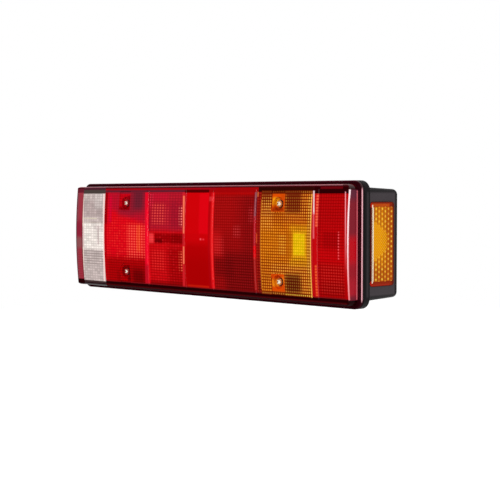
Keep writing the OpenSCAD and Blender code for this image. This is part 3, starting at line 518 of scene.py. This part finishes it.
# reflector section, painted lighter at its upper left and near the stop bulb, with painted shade at its
# right, lower right and lower middle
colour = lay(tree, colour, x, z, [
    ("lighter upper left", 26, 62, 8, 54, 10, (166, 10, 10), 0.8),
    ("light of the stop bulb", 24, 41, -15, 11, 7, (198, 16, 19), 0.85),
    ("right side", 74, 92, -62, 50, 8, (130, 9, 10), 0.8),
    ("lower right", 46, 92, -62, -12, 7, (116, 8, 9), 0.85),
    ("dark middle below", 30, 60, -40, -20, 5, (104, 5, 6), 0.6),
    ("line at the top", 28, 92, 50.5, 54, 0.8, (180, 8, 8), 0.9),
])
# strip between the reflector and the amber panel, with two painted sparks of light and painted shade below
colour = lay(tree, colour, x, z, [
    ("middle", 96, 102, -20, 30, 6, (152, 18, 10), 0.8),
    ("spark at the middle", 95.8, 97.3, -1, 9.5, 0.7, (236, 84, 44), 0.75),
    ("spark at the top", 95.4, 97.2, 49, 54.5, 0.8, (240, 130, 70), 0.75),
    ("shade below", 97, 102, -62, -40, 2, (96, 22, 14), 0.7),
])
# end section: painted shade at the bead, a painted reflection of a darker square, a lighter band, and
# darker above and below it
colour = lay(tree, colour, x, z, [
    ("shade at the bead", 185, 188.5, -56, 56, 1, (168, 3, 8), 0.8),
    ("mirrored square", 192, 213, -12, 13, 1, (160, 2, 5), 0.8),
    ("brighter band", 185, 222, -19, -4, 4, (204, 5, 10), 0.7),
    ("lower part", 188, 222, -62, -38, 5, (160, 4, 5), 0.8),
    ("upper part", 188, 219, 22, 52, 7, (172, 4, 7), 0.6),
])

# prism cells: wide ones behind the fog and tail sections, fine ones behind the others
WIDE_CELL, FINE_CELL = (4.7, 3.12), (3.3, 3.0)
wide = cells_at(tree, x, z, *WIDE_CELL)
fine = cells_at(tree, x, z, *FINE_CELL)
wide_here = calc(tree, "ADD", band(tree, x, -167.0, -90.0), band(tree, x, -83.0, -23.5))
fine_here = calc(tree, "ADD", band(tree, x, 28.5, 91.5),
                 calc(tree, "ADD", band(tree, x, 96.0, 102.0), band(tree, x, 185.0, 220.0)))
inner = band(tree, z, -54.5, 53.5, 0.6)
low_half = ramp_down(tree, z, -20.0, -8.0)
for name, depth, deeper_below in (("Groove Across", 0.3, 0.0), ("Groove Up", 0.55, 0.3)):
    wide_groove = calc(tree, "MULTIPLY", wide[name], wide_here)
    fine_groove = calc(tree, "MULTIPLY", fine[name], fine_here)
    groove = calc(tree, "MULTIPLY", calc(tree, "MAXIMUM", wide_groove, fine_groove), inner)
    share = calc(tree, "MULTIPLY", groove, calc(tree, "MULTIPLY_ADD", low_half, deeper_below, depth))
    darker = shader_node(tree, "HueSaturation", {"Value": 0.55, "Color": colour})
    colour = mix_tint(tree, share, colour, darker)

# painted glints in the cells, round the bulbs behind them
wide_glint = calc(tree, "MULTIPLY", wide["Glint"], inner)
fine_glint = calc(tree, "MULTIPLY", fine["Glint"], inner)
spark = calc(tree, "MULTIPLY", wide_glint, calc(tree, "POWER", wide["Chance"], 2.0))
colour = lay(tree, colour, x, z, [
    ("fog cells", -162, -90, -26, 22, 6, (255, 66, 52), 0.5),
    ("tail cells", -82, -24, -50, 50, 2, (232, 40, 44), 0.35),
], spark)
colour = lay(tree, colour, x, z, [
    ("fog bulb", -124, -91, -24, 16, 3, (255, 112, 90), 0.6),
    ("tail bulb over the channel", -78, -55, 17, 41, 2, (246, 84, 72), 0.85),
    ("beside it", -55, -48, 17, 37, 2, (220, 60, 62), 0.5),
    ("upper left corner", -83.5, -77.5, 36, 54, 1, (240, 50, 84), 0.7),
    ("tail bulb under the channel", -78, -55, -37, -14, 3, (240, 54, 48), 0.7),
    ("right column, above", -30, -22.5, 15, 38, 1.5, (255, 130, 116), 0.95),
    ("right column, below", -30, -22.5, -37, -14, 1.5, (240, 96, 66), 0.9),
], wide_glint)
# painted light: an orange column of glow in the fog section, between the grooves
colour = lay(tree, colour, x, z, [
    ("orange column", -106, -99, -16, 15, 2, (255, 106, 34), 0.35),
], opposite(tree, wide["Groove Across"]))
colour = lay(tree, colour, x, z, [
    ("reflector", 30, 90, -52, 50, 2, (190, 34, 36), 0.3),
    ("mirrored spot", 60, 71, 5, 17, 3, (214, 66, 68), 0.65),
    ("spot at the right", 84, 91, 21, 37, 3, (216, 62, 68), 0.6),
    ("spot by the stop bulb", 30, 45, -16, 4, 3, (226, 60, 60), 0.5),
    ("strip", 96, 102, -54, 54, 0.5, (196, 56, 30), 0.4),
    ("lower end section", 188, 219, -50, -20, 4, (214, 60, 50), 0.4),
    ("upper end section", 186, 219, -14, 52, 4, (206, 20, 24), 0.3),
    ("edge of the mirrored square", 211.8, 215, -15, 13.5, 0.5, (246, 84, 90), 0.95),
], fine_glint)
# painted dots of light in a column along the bead
dotted = opposite(tree, fine["Groove Up"])
colour = lay(tree, colour, x, z, [
    ("dots above", 182.4, 184.4, 18, 52, 0.6, (250, 100, 66), 0.85),
    ("dots below", 181.8, 183.8, -53, -21, 0.6, (240, 92, 44), 0.85),
], dotted)
colour = lay(tree, colour, x, z, [
    ("grooves of the end strip", -227, -215, -60, -18, 2, (150, 24, 40), 0.6),
], fine["Groove Up"])

# half-round ribs: light runs along them
rib_x = bowed(tree, x, z)
colour = lay(tree, colour, rib_x, z, [
    ("fog rib", -90.2, -83.6, -56, 56, 0.9, (232, 10, 40), 0.95),
    ("its crest", -88, -85, -30, 34, 0.8, (254, 14, 46), 0.8),
    ("its shaded foot", -90, -84, -56, -32, 2, (160, 20, 30), 0.6),
    ("shadow beside it", -83.4, -81.6, 8, 54, 0.7, (130, 6, 26), 0.6),
    ("tail rib", -23.4, -19.4, -56, 54, 0.7, (214, 34, 42), 0.8),
    ("its lit edge, above", -22.6, -19.8, 7, 50, 0.6, (253, 124, 88), 0.95),
    ("its lit edge, below", -22.6, -19.8, -28, -8, 0.6, (250, 122, 84), 0.95),
])
colour = lay(tree, colour, x, z, [
    ("stop rib", 23.4, 28.6, -54, 54, 0.8, (226, 20, 26), 0.9),
    ("its crest", 25.2, 27.4, -44, 46, 0.7, (242, 42, 42), 0.8),
    ("glint on its top", 20, 28, 44, 49, 1, (236, 60, 66), 0.5),
    ("reflector rib", 91.4, 95.6, 24, 56, 0.7, (92, 30, 42), 0.9),
    ("its pale crest", 93, 94.4, 27, 54, 0.5, (170, 84, 96), 0.8),
    ("its middle", 92.6, 95.2, -8, 28, 0.8, (190, 28, 44), 0.75),
    ("its bright stretch", 92, 95.6, -18, -4, 1, (226, 5, 16), 0.9),
    ("its lower part", 92.4, 95.2, -52, -16, 0.8, (186, 38, 34), 0.6),
])

# raised borders above and below the sections, with painted shade darkening the bottom border and edge under
# the lip
colour = lay(tree, colour, x, z, [
    ("top border", -232, 232, 54.2, 66, 0.35, (104, 28, 44), 1.0),
    ("over the stop section", -22, 19, 53.6, 66, 0.35, (84, 0, 2), 1.0),
    ("over the reflector", 19, 97, 53.8, 66, 0.5, (160, 5, 8), 1.0),
    ("its upper step", -169, 30, 57, 66, 0.4, (158, 6, 18), 1.0),
    ("over the amber panel", 97, 177, 54, 66, 0.5, (44, 6, 3), 1.0),
    ("over the end section", 177, 232, 52, 66, 0.5, (42, 0, 3), 1.0),
    ("its upper step there", 186, 216, 56.8, 66, 0.6, (100, 4, 12), 1.0),
    ("top edge", -232, 232, 59.1, 66, 0.35, (66, 4, 12), 1.0),
    ("light on the top edge", -232, 215, 60.4, 62.2, 0.3, (170, 98, 108), 0.8),
    ("bottom border", -232, 232, -70, -54.4, 0.4, (34, 1, 3), 1.0),
    ("its upper line", -169, 222, -54.9, -53.6, 0.4, (128, 22, 26), 0.6),
    ("its lower step", -169, 222, -60, -58, 0.5, (70, 4, 8), 0.9),
    ("bottom edge", -212, 226, -70, -60.2, 0.4, (14, 0, 3), 0.9),
])

# lines of light along the end: the bead's streak, the edge of the inner wall, the outer corner
colour = lay(tree, colour, rib_x, z, [
    ("streak on the bead, above", 178.6, 181.4, 31, 55, 0.6, (252, 222, 226), 0.95),
    ("streak on the bead, middle", 179, 181.2, 6, 33, 0.8, (244, 110, 124), 0.75),
    ("foot of the bead", 175.2, 177.8, -54, 54, 0.5, (206, 40, 50), 0.6),
])
colour = lay(tree, colour, rib_x, z, [
    ("edge of the inner wall", 221.4, 222.7, -56, 54, 0.35, (246, 150, 160), 0.9),
], ramp_up(tree, z, -34.0, 40.0))
corner_light = mix_tint(tree, ramp_up(tree, z, -70.0, 30.0), tint(240, 120, 124), tint(255, 228, 232))
corner_line = area(tree, "outer corner", x, z, 223.75, 224.7, -55.0, 56.0, 0.3)
colour = mix_tint(tree, corner_line, colour, corner_light)

# end walls, from the flange to the front edge: a painted reflection in purple and grey above and at the
# foot, red at the middle, painted shade in the top and bottom corners, and a painted line of light at the
# flange
LENS_MIDDLE, HALF_LENGTH = -1.75, 226.7
off_middle = calc(tree, "ABSOLUTE", calc(tree, "SUBTRACT", x, LENS_MIDDLE))
wall_depth = calc(tree, "MULTIPLY", ramp_down(tree, y, -75.0, -73.6), ramp_up(tree, y, -88.5, -86.5))
end_wall = calc(tree, "MULTIPLY", ramp_up(tree, off_middle, HALF_LENGTH - 0.4, HALF_LENGTH), wall_depth)
wall = lay(tree, tint(176, 26, 42), z, y, [
    ("purple upper part", 6, 70, -100, 0, 8, (130, 30, 44), 0.9),
    ("greyer top", 46, 70, -100, 0, 5, (96, 40, 58), 0.9),
    ("red middle", -18, 8, -100, 0, 6, (196, 6, 24), 0.95),
    ("below the middle", -34, -20, -100, 0, 5, (150, 20, 34), 0.6),
    ("purple foot", -70, -51, -100, 0, 3, (100, 28, 44), 0.8),
    ("top corner", 55.8, 80, -100, 0, 0.6, (48, 2, 8), 1.0),
    ("bottom corner", -80, -55.6, -100, 0, 0.6, (10, 0, 2), 1.0),
    ("light at the flange", -55, 55, -76.2, -70, 0.5, (226, 108, 120), 0.9),
])
colour = mix_tint(tree, end_wall, colour, wall)

# long walls: dark red with streaks
off_axis = calc(tree, "ABSOLUTE", z)
long_wall = calc(tree, "MULTIPLY", ramp_up(tree, off_axis, 61.2, 61.45), ramp_up(tree, y, -86.0, -84.5))
spot = shader_node(tree, "CombineXYZ", {"X": x, "Y": y, "Z": z})
streaks = shader_node(tree, "TexNoise", {"Vector": spot, "Scale": 0.05, "Detail": 1.0})
colour = mix_tint(tree, long_wall, colour, mix_tint(tree, streaks, tint(120, 6, 16), tint(176, 12, 26)))

# flange: nearly black, painted lighter along its top edge as light, with a painted line of light on its two
# ends
flange_end = calc(tree, "MULTIPLY", ramp_up(tree, calc(tree, "ABSOLUTE", x), 229.0, 229.5),
                  ramp_down(tree, off_axis, 54.0, 61.0))
flange_line = calc(tree, "MULTIPLY", flange_end, ramp_down(tree, y, -72.8, -72.2))
flange = mix_tint(tree, ramp_up(tree, z, 63.8, 65.2), tint(44, 3, 12), tint(84, 28, 42))
flange = mix_tint(tree, flange_line, flange, tint(240, 176, 186))
colour = mix_tint(tree, ramp_up(tree, y, -74.6, -73.8), colour, flange)

# glossy front, with less gloss on the end walls and none at the bottom border
front_gloss = calc(tree, "MULTIPLY_ADD", end_wall, -0.85, 1.0)
gloss = calc(tree, "MULTIPLY", ramp_up(tree, z, -57.0, -54.0), front_gloss)
polished_skin(tree, shader, colour, 0.4, calc(tree, "MULTIPLY_ADD", gloss, 0.45, 0.05), 0.03)
height = calc(tree, "ADD", calc(tree, "MULTIPLY", wide["Height"], wide_here),
              calc(tree, "MULTIPLY", fine["Height"], fine_here))
raised(tree, shader, calc(tree, "MULTIPLY", height, inner), 0.2, 0.0005)
dress(["lens_body"], red_lens)


# Clear reverse section: a clear plastic panel over a silvered bowl, welded into the red lens. Its
# bands are painted reflections of the bowl behind it, and its grooves those of its prism cells.
def mottled(tree, colour, chance, amount):
    """Makes each prism cell a little lighter or darker than the next."""
    value = calc(tree, "MULTIPLY_ADD", calc(tree, "SUBTRACT", chance, 0.5), amount, 1.0)
    return shader_node(tree, "HueSaturation", {"Value": value, "Color": colour})


clear_lens, tree, shader = finish_named("clear_lens")
x, _, z = millimetres(tree)
CLEAR_CELL = (5.0, 3.1)
cells = cells_at(tree, x, z, *CLEAR_CELL)
colour = lay(tree, tint(208, 192, 188), x, z, [
    ("grey band over the bulb", -214, -168, 24, 44, 4, (188, 168, 166), 0.8),
    ("pale upper right", -190, -168, 34, 60, 4, (212, 200, 196), 0.7),
    ("bright band at the bulb", -214, -168, -16.5, 17, 2, (252, 242, 234), 0.95),
    ("its shaded edge", -190, -170, 8, 14, 3, (214, 196, 194), 0.5),
    ("grey stroke", -182.6, -179.4, -10, 13, 1, (204, 182, 180), 0.8),
    ("its brightest part", -205, -196, -14, 14, 3, (255, 246, 238), 0.6),
])
colour = mottled(tree, colour, cells["Chance"], 0.3)
below_bulb = band(tree, z, -36.0, -17.0, 2.0)
groove = calc(tree, "MULTIPLY", cells["Groove Up"], calc(tree, "MULTIPLY_ADD", below_bulb, 0.356, 0.34))
groove = calc(tree, "MAXIMUM", groove, calc(tree, "MULTIPLY", cells["Groove Across"], 0.24))
colour = mix_tint(tree, groove, colour, tint(116, 96, 94))
colour = lay(tree, colour, x, z, [
    ("pale line over the band", -213, -184, 21.6, 22.8, 0.5, (226, 216, 190), 0.8),
    ("dark line on the band", -213, -170, 16.4, 17.6, 0.4, (150, 128, 116), 0.5),
])
colour = lay(tree, colour, bowed(tree, x, z), z, [
    ("lit left edge", -213.6, -210.6, -55, 53, 0.7, (250, 226, 212), 0.75),
    ("its rosy middle", -213.6, -210.6, -14, 12, 0.7, (214, 176, 176), 0.8),
    ("lit right edge", -171.2, -168.2, -56, 54, 0.6, (255, 222, 216), 0.95),
])
# borders, darker at the bottom, as painted shade under the lip
colour = lay(tree, colour, x, z, [
    ("top border", -240, 240, 53, 70, 0.4, (72, 62, 58), 1.0),
    ("its red upper step", -240, 240, 57.6, 70, 0.5, (76, 30, 42), 1.0),
    ("light on the top edge", -240, 240, 60.4, 62.2, 0.3, (170, 110, 120), 0.8),
    ("bottom border", -240, 240, -70, -55.6, 0.4, (66, 48, 48), 1.0),
    ("its dark foot", -240, 240, -70, -58, 0.5, (34, 8, 14), 1.0),
])
polished_skin(tree, shader, colour, 0.35, 0.5, 0.03)
raised(tree, shader, cells["Height"], 0.3, 0.0005)
dress(["reverse_window"], clear_lens)


# Amber indicator panel: clear amber plastic with square prism cells, with a painted glow in front of
# its bulb, and with two of the four screws in plain sunk patches. It is welded into the red lens.
amber_lens, tree, shader = finish_named("amber_lens")
x, _, z = millimetres(tree)
AMBER_CELL = (2.93, 3.07)
cells = cells_at(tree, x, z, *AMBER_CELL)
# painted glow round the bulb, brightest at the yellow middle, and painted shadow in the dark patches over
# and under the bulb and in the dark corner at the upper left
colour = lay(tree, tint(214, 104, 6), x, z, [
    ("left of the upper screw", 102, 118, 28, 60, 4, (176, 62, 8), 0.8),
    ("its dark corner", 102, 118, 42, 54, 3, (140, 34, 4), 0.8),
    ("orange left middle", 102, 130, -14, 26, 8, (218, 112, 4), 0.8),
    ("upper part", 118, 176, 20, 56, 6, (184, 66, 6), 0.8),
    ("dark patch over the bulb", 138, 160, 32, 56, 2.5, (132, 30, 4), 0.95),
    ("its right half", 158, 168, 32, 54, 2, (168, 56, 6), 0.7),
    ("lower part", 102, 176, -62, -24, 6, (200, 88, 10), 0.8),
    ("dark patch under the bulb", 138, 158, -54, -32, 5, (110, 26, 8), 0.85),
    ("glow of the bulb", 145, 176, -24, 19, 3, (232, 150, 8), 0.9),
    ("brighter square", 148.5, 169, -17, 13.5, 0.8, (236, 170, 6), 0.9),
    ("yellow middle", 150.5, 166.5, -12, 10.5, 0.6, (246, 206, 4), 1.0),
    ("top row", 102, 176, 52, 70, 1, (96, 26, 6), 0.95),
    ("bottom row", 102, 176, -70, -52.5, 1, (120, 44, 10), 0.9),
    ("right column", 170, 176, -56, 50, 1.5, (206, 118, 26), 0.7),
])

# grooves of the prism cells, shallower at the middle and in front of the bulb, and the cells' glints
middle = band(tree, z, -14.0, 27.0, 8.0)
lit = area(tree, "in front of the bulb", x, z, 149.0, 168.0, -14.0, 12.0, 1.5)
depth = calc(tree, "MULTIPLY_ADD", lit, -0.36, calc(tree, "MULTIPLY_ADD", middle, -0.1265, 0.92))
groove = calc(tree, "MAXIMUM", calc(tree, "MULTIPLY", cells["Groove Across"], 0.85), cells["Groove Up"])
colour = mix_tint(tree, calc(tree, "MULTIPLY", groove, depth), colour, tint(100, 20, 2))
colour = mottled(tree, colour, cells["Chance"], 0.16)
colour = lay(tree, colour, x, z, [
    ("all cells", 102, 176, -52, 50, 1, (255, 172, 44), 0.55),
    ("lower cells", 118, 176, -53, -22, 4, (255, 200, 84), 0.35),
    ("upper cells", 136, 176, 24, 54, 5, (250, 170, 64), 0.3),
    ("upper left cells", 102, 120, 14, 52, 4, (255, 200, 100), 0.3),
    ("left of the bulb", 130, 140, -12, 9, 2.5, (255, 196, 64), 0.6),
    ("beside the screw", 108, 120, 34, 48, 3, (250, 180, 60), 0.4),
    ("upper right cells", 160, 176, 28, 54, 3, (236, 150, 44), 0.6),
    ("top row", 102, 176, 54.4, 57.6, 0.4, (214, 150, 40), 0.8),
    ("bottom row, right", 136, 176, -57.4, -53.2, 0.6, (252, 206, 70), 0.95),
    ("bottom row, left", 102, 136, -57.4, -53.2, 0.6, (220, 150, 60), 0.6),
    ("right column", 170, 176, -30, 50, 1, (255, 196, 80), 0.6),
], cells["Glint"])
colour = lay(tree, colour, x, z, [
    ("shadow over the bulb", 139, 160, 33, 54, 4, (98, 20, 6), 0.7),
    ("shadow under the bulb", 138, 161, -52, -33, 4.5, (76, 14, 4), 0.72),
    ("shadow at the upper left", 103, 117, 44, 55, 3, (110, 22, 4), 0.4),
    ("shade left of the bulb", 140, 150, -16, 14, 2, (176, 84, 4), 0.5),
])

# plain patches round the two screws, with painted light and shade on their walls, and the panel's painted
# light edges
SUNK_LEFT, SUNK_RIGHT = 117.5, 136.5
upper_sunk = area(tree, "round the upper screw", x, z, SUNK_LEFT, SUNK_RIGHT, 33.0, 52.0, 0.7)
lower_sunk = area(tree, "round the lower screw", x, z, SUNK_LEFT, SUNK_RIGHT, -51.5, -33.0, 0.7)
sunk = calc(tree, "MAXIMUM", upper_sunk, lower_sunk)
smooth = lay(tree, tint(220, 78, 4), x, z, [
    ("lower wall of the upper patch", 118, 136, 33, 37.5, 1.6, (150, 44, 4), 0.8),
    ("its right side", 130, 137, 44, 52, 3, (206, 70, 4), 0.8),
    ("its lit left side", 118, 125, 40, 48, 2, (252, 178, 20), 0.8),
    ("lower patch", 118, 137, -52, -33, 4, (216, 70, 6), 0.6),
    ("its lit left side", 118, 125, -46, -39, 2, (252, 170, 30), 0.8),
    ("its right side", 130, 136, -42, -36, 2, (244, 130, 20), 0.7),
])
colour = mix_tint(tree, sunk, colour, smooth)
colour = lay(tree, colour, x, z, [
    ("lit left edge", 101, 102.8, -50, 46, 0.4, (206, 130, 40), 0.7),
    ("lit right edge", 174.4, 176.2, -56, 52, 0.5, (252, 190, 88), 0.85),
    ("top border", 100, 178, 57.4, 70, 0.4, (44, 6, 3), 1.0),
    ("bottom border", 100, 178, -70, -57.4, 0.4, (34, 1, 3), 1.0),
])
polished_skin(tree, shader, colour, 0.35, 0.5, 0.03)
raised(tree, shader, calc(tree, "MULTIPLY", cells["Height"], opposite(tree, sunk)), 0.3, 0.0005)
dress(["indicator_window"], amber_lens)


# Lens screws: four long bright screws through the lens into the tub. Their pan heads lie at the
# bottom of the sunk cups. Each head is painted with a white highlight at its middle and a painted
# reflection of its red or amber cup round it.
bright_steel_with_painted_glint, tree, shader = finish_named("bright_steel_with_painted_glint")
x, _, z = millimetres(tree)
HEAD_RADIUS = 3.6
heads_low, heads_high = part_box("lens_screws")
heads_middle = (heads_low + heads_high) / 2 / MM
heads_reach = (heads_high - heads_low) / 2 / MM
off_x = calc(tree, "SUBTRACT", calc(tree, "ABSOLUTE", calc(tree, "SUBTRACT", x, heads_middle.x)),
             heads_reach.x - HEAD_RADIUS)
off_z = calc(tree, "SUBTRACT", calc(tree, "ABSOLUTE", calc(tree, "SUBTRACT", z, heads_middle.z)),
             heads_reach.z - HEAD_RADIUS)
off_head = calc(tree, "SQRT", calc(tree, "ADD", calc(tree, "MULTIPLY", off_x, off_x),
                                   calc(tree, "MULTIPLY", off_z, off_z)))
# painted reflection of the red cups on the left and the amber cups on the right, round a painted white
# highlight
cup_reflection_tint = mix_tint(tree, ramp_up(tree, x, -2.0, 0.0), tint(176, 14, 16), tint(204, 130, 60))
colour = mix_tint(tree, ramp_up(tree, off_head, 1.6, 2.6), tint(255, 252, 238), cup_reflection_tint)
scratches = place(tree, mould_grain, {"Size": 0.0005, "Coarse Size": 0.003})["Grain"]
fill_sockets(tree, shader, {"Base Color": colour, "Metallic": 0.05,
                            "Roughness": around(tree, scratches, 0.4, 0.2)})
dress(["lens_screws"], bright_steel_with_painted_glint)


# Side marker: amber moulding pressed into its pocket in the end wall and held by two hooks. Its
# face has rows of small lenses, and a field of finer prisms at the middle.
amber_marker, tree, shader = finish_named("amber_marker")
x, y, z = millimetres(tree)
COLUMN_PITCH, ROW_PITCH, DIAMOND_PITCH = 5.0, 5.2, 3.2
from_edge = calc(tree, "ADD", y, 2.0)
column = calc(tree, "FLOOR", calc(tree, "DIVIDE", from_edge, COLUMN_PITCH))
staggered = calc(tree, "MULTIPLY_ADD", column, ROW_PITCH / 2, z)
rows = cells_at(tree, from_edge, staggered, COLUMN_PITCH, ROW_PITCH)
diamonds = cells_at(tree, calc(tree, "ADD", y, z), calc(tree, "SUBTRACT", y, z),
                    DIAMOND_PITCH, DIAMOND_PITCH)
# painted glow at the bright front and round it; darker below and towards the back
face = lay(tree, tint(214, 116, 0), y, z, [
    ("bright front", -51, -33, -16, 24, 6, (255, 180, 2), 0.95),
    ("glow round it", -51, -30, -24, 40, 8, (246, 150, 2), 0.7),
    ("behind it", -34, -26, -10, 12, 4, (232, 148, 4), 0.7),
    ("lower part", -51, -15, -46, -26, 4, (204, 102, 0), 0.8),
    ("darker columns", -28, -21, -40, 40, 1.5, (206, 96, 0), 0.6),
    ("last column", -21, -16, -40, 40, 0.8, (186, 66, 0), 0.7),
])

# field of fine prisms, narrower towards its point, and the rows of lenses round it
point = calc(tree, "MULTIPLY_ADD", y, 0.6, calc(tree, "ABSOLUTE", calc(tree, "SUBTRACT", z, 3.0)))
fine_field = area(tree, "fine prisms", y, point, -54.0, -26.5, -90.0, -8.0, 1.5)
row_field = opposite(tree, fine_field)
between_columns = calc(tree, "MULTIPLY", calc(tree, "MULTIPLY", rows["Groove Across"], row_field), 0.7)
face = mix_tint(tree, between_columns, face, tint(140, 56, 0))
between_rows = calc(tree, "MULTIPLY", calc(tree, "MULTIPLY", rows["Groove Up"], row_field), 0.35)
face = mix_tint(tree, between_rows, face, tint(150, 66, 0))
spark = calc(tree, "MULTIPLY", calc(tree, "POWER", rows["Glint"], 3.0),
             calc(tree, "MULTIPLY_ADD", rows["Chance"], 0.5, 0.5))
face = mix_tint(tree, calc(tree, "MULTIPLY", spark, row_field), face, tint(255, 218, 70))
fine_groove = calc(tree, "MAXIMUM", diamonds["Groove Across"], diamonds["Groove Up"])
fine_groove = calc(tree, "MULTIPLY", calc(tree, "MULTIPLY", fine_field, fine_groove), 0.55)
face = mix_tint(tree, fine_groove, face, tint(206, 104, 0))
fine_glint = calc(tree, "MULTIPLY", calc(tree, "MULTIPLY", fine_field, diamonds["Glint"]), 0.8)
face = mix_tint(tree, fine_glint, face, tint(255, 212, 24))

# flange round the raised face, with painted shade on its back and bottom sides, and the line of light along
# the face's front edge
FACE_EDGE = 224.0
border = lay(tree, tint(150, 36, 2), y, z, [
    ("front side", -60, -50, -50, 50, 1, (206, 24, 6), 0.8),
    ("its dark edge", -60, -50.4, -38, 38, 0.4, (60, 6, 2), 0.9),
    ("back side", -17.5, -10, -50, 50, 1.5, (92, 24, 2), 0.9),
    ("top side", -50, -22, 38.4, 41.5, 0.8, (206, 84, 6), 0.8),
    ("bottom side", -50, -22, -44, -41.5, 0.8, (176, 40, 16), 0.8),
    ("top edge", -60, -10, 42.6, 50, 0.4, (96, 22, 4), 0.8),
    ("bottom edge", -60, -10, -50, -42.9, 0.4, (80, 8, 4), 0.8),
])
colour = mix_tint(tree, ramp_up(tree, x, FACE_EDGE - 0.2, FACE_EDGE + 0.2), border, face)
colour = lay(tree, colour, y, z, [
    ("light on the front edge", -50.1, -48.5, -40, 40.5, 0.3, (255, 246, 222), 1.0),
])
polished_skin(tree, shader, colour, 0.3, 0.12, 0.05)
raised(tree, shader, rows["Height"], 0.35, 0.0005)
dress(["side_marker_lens"], amber_marker)


low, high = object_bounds()
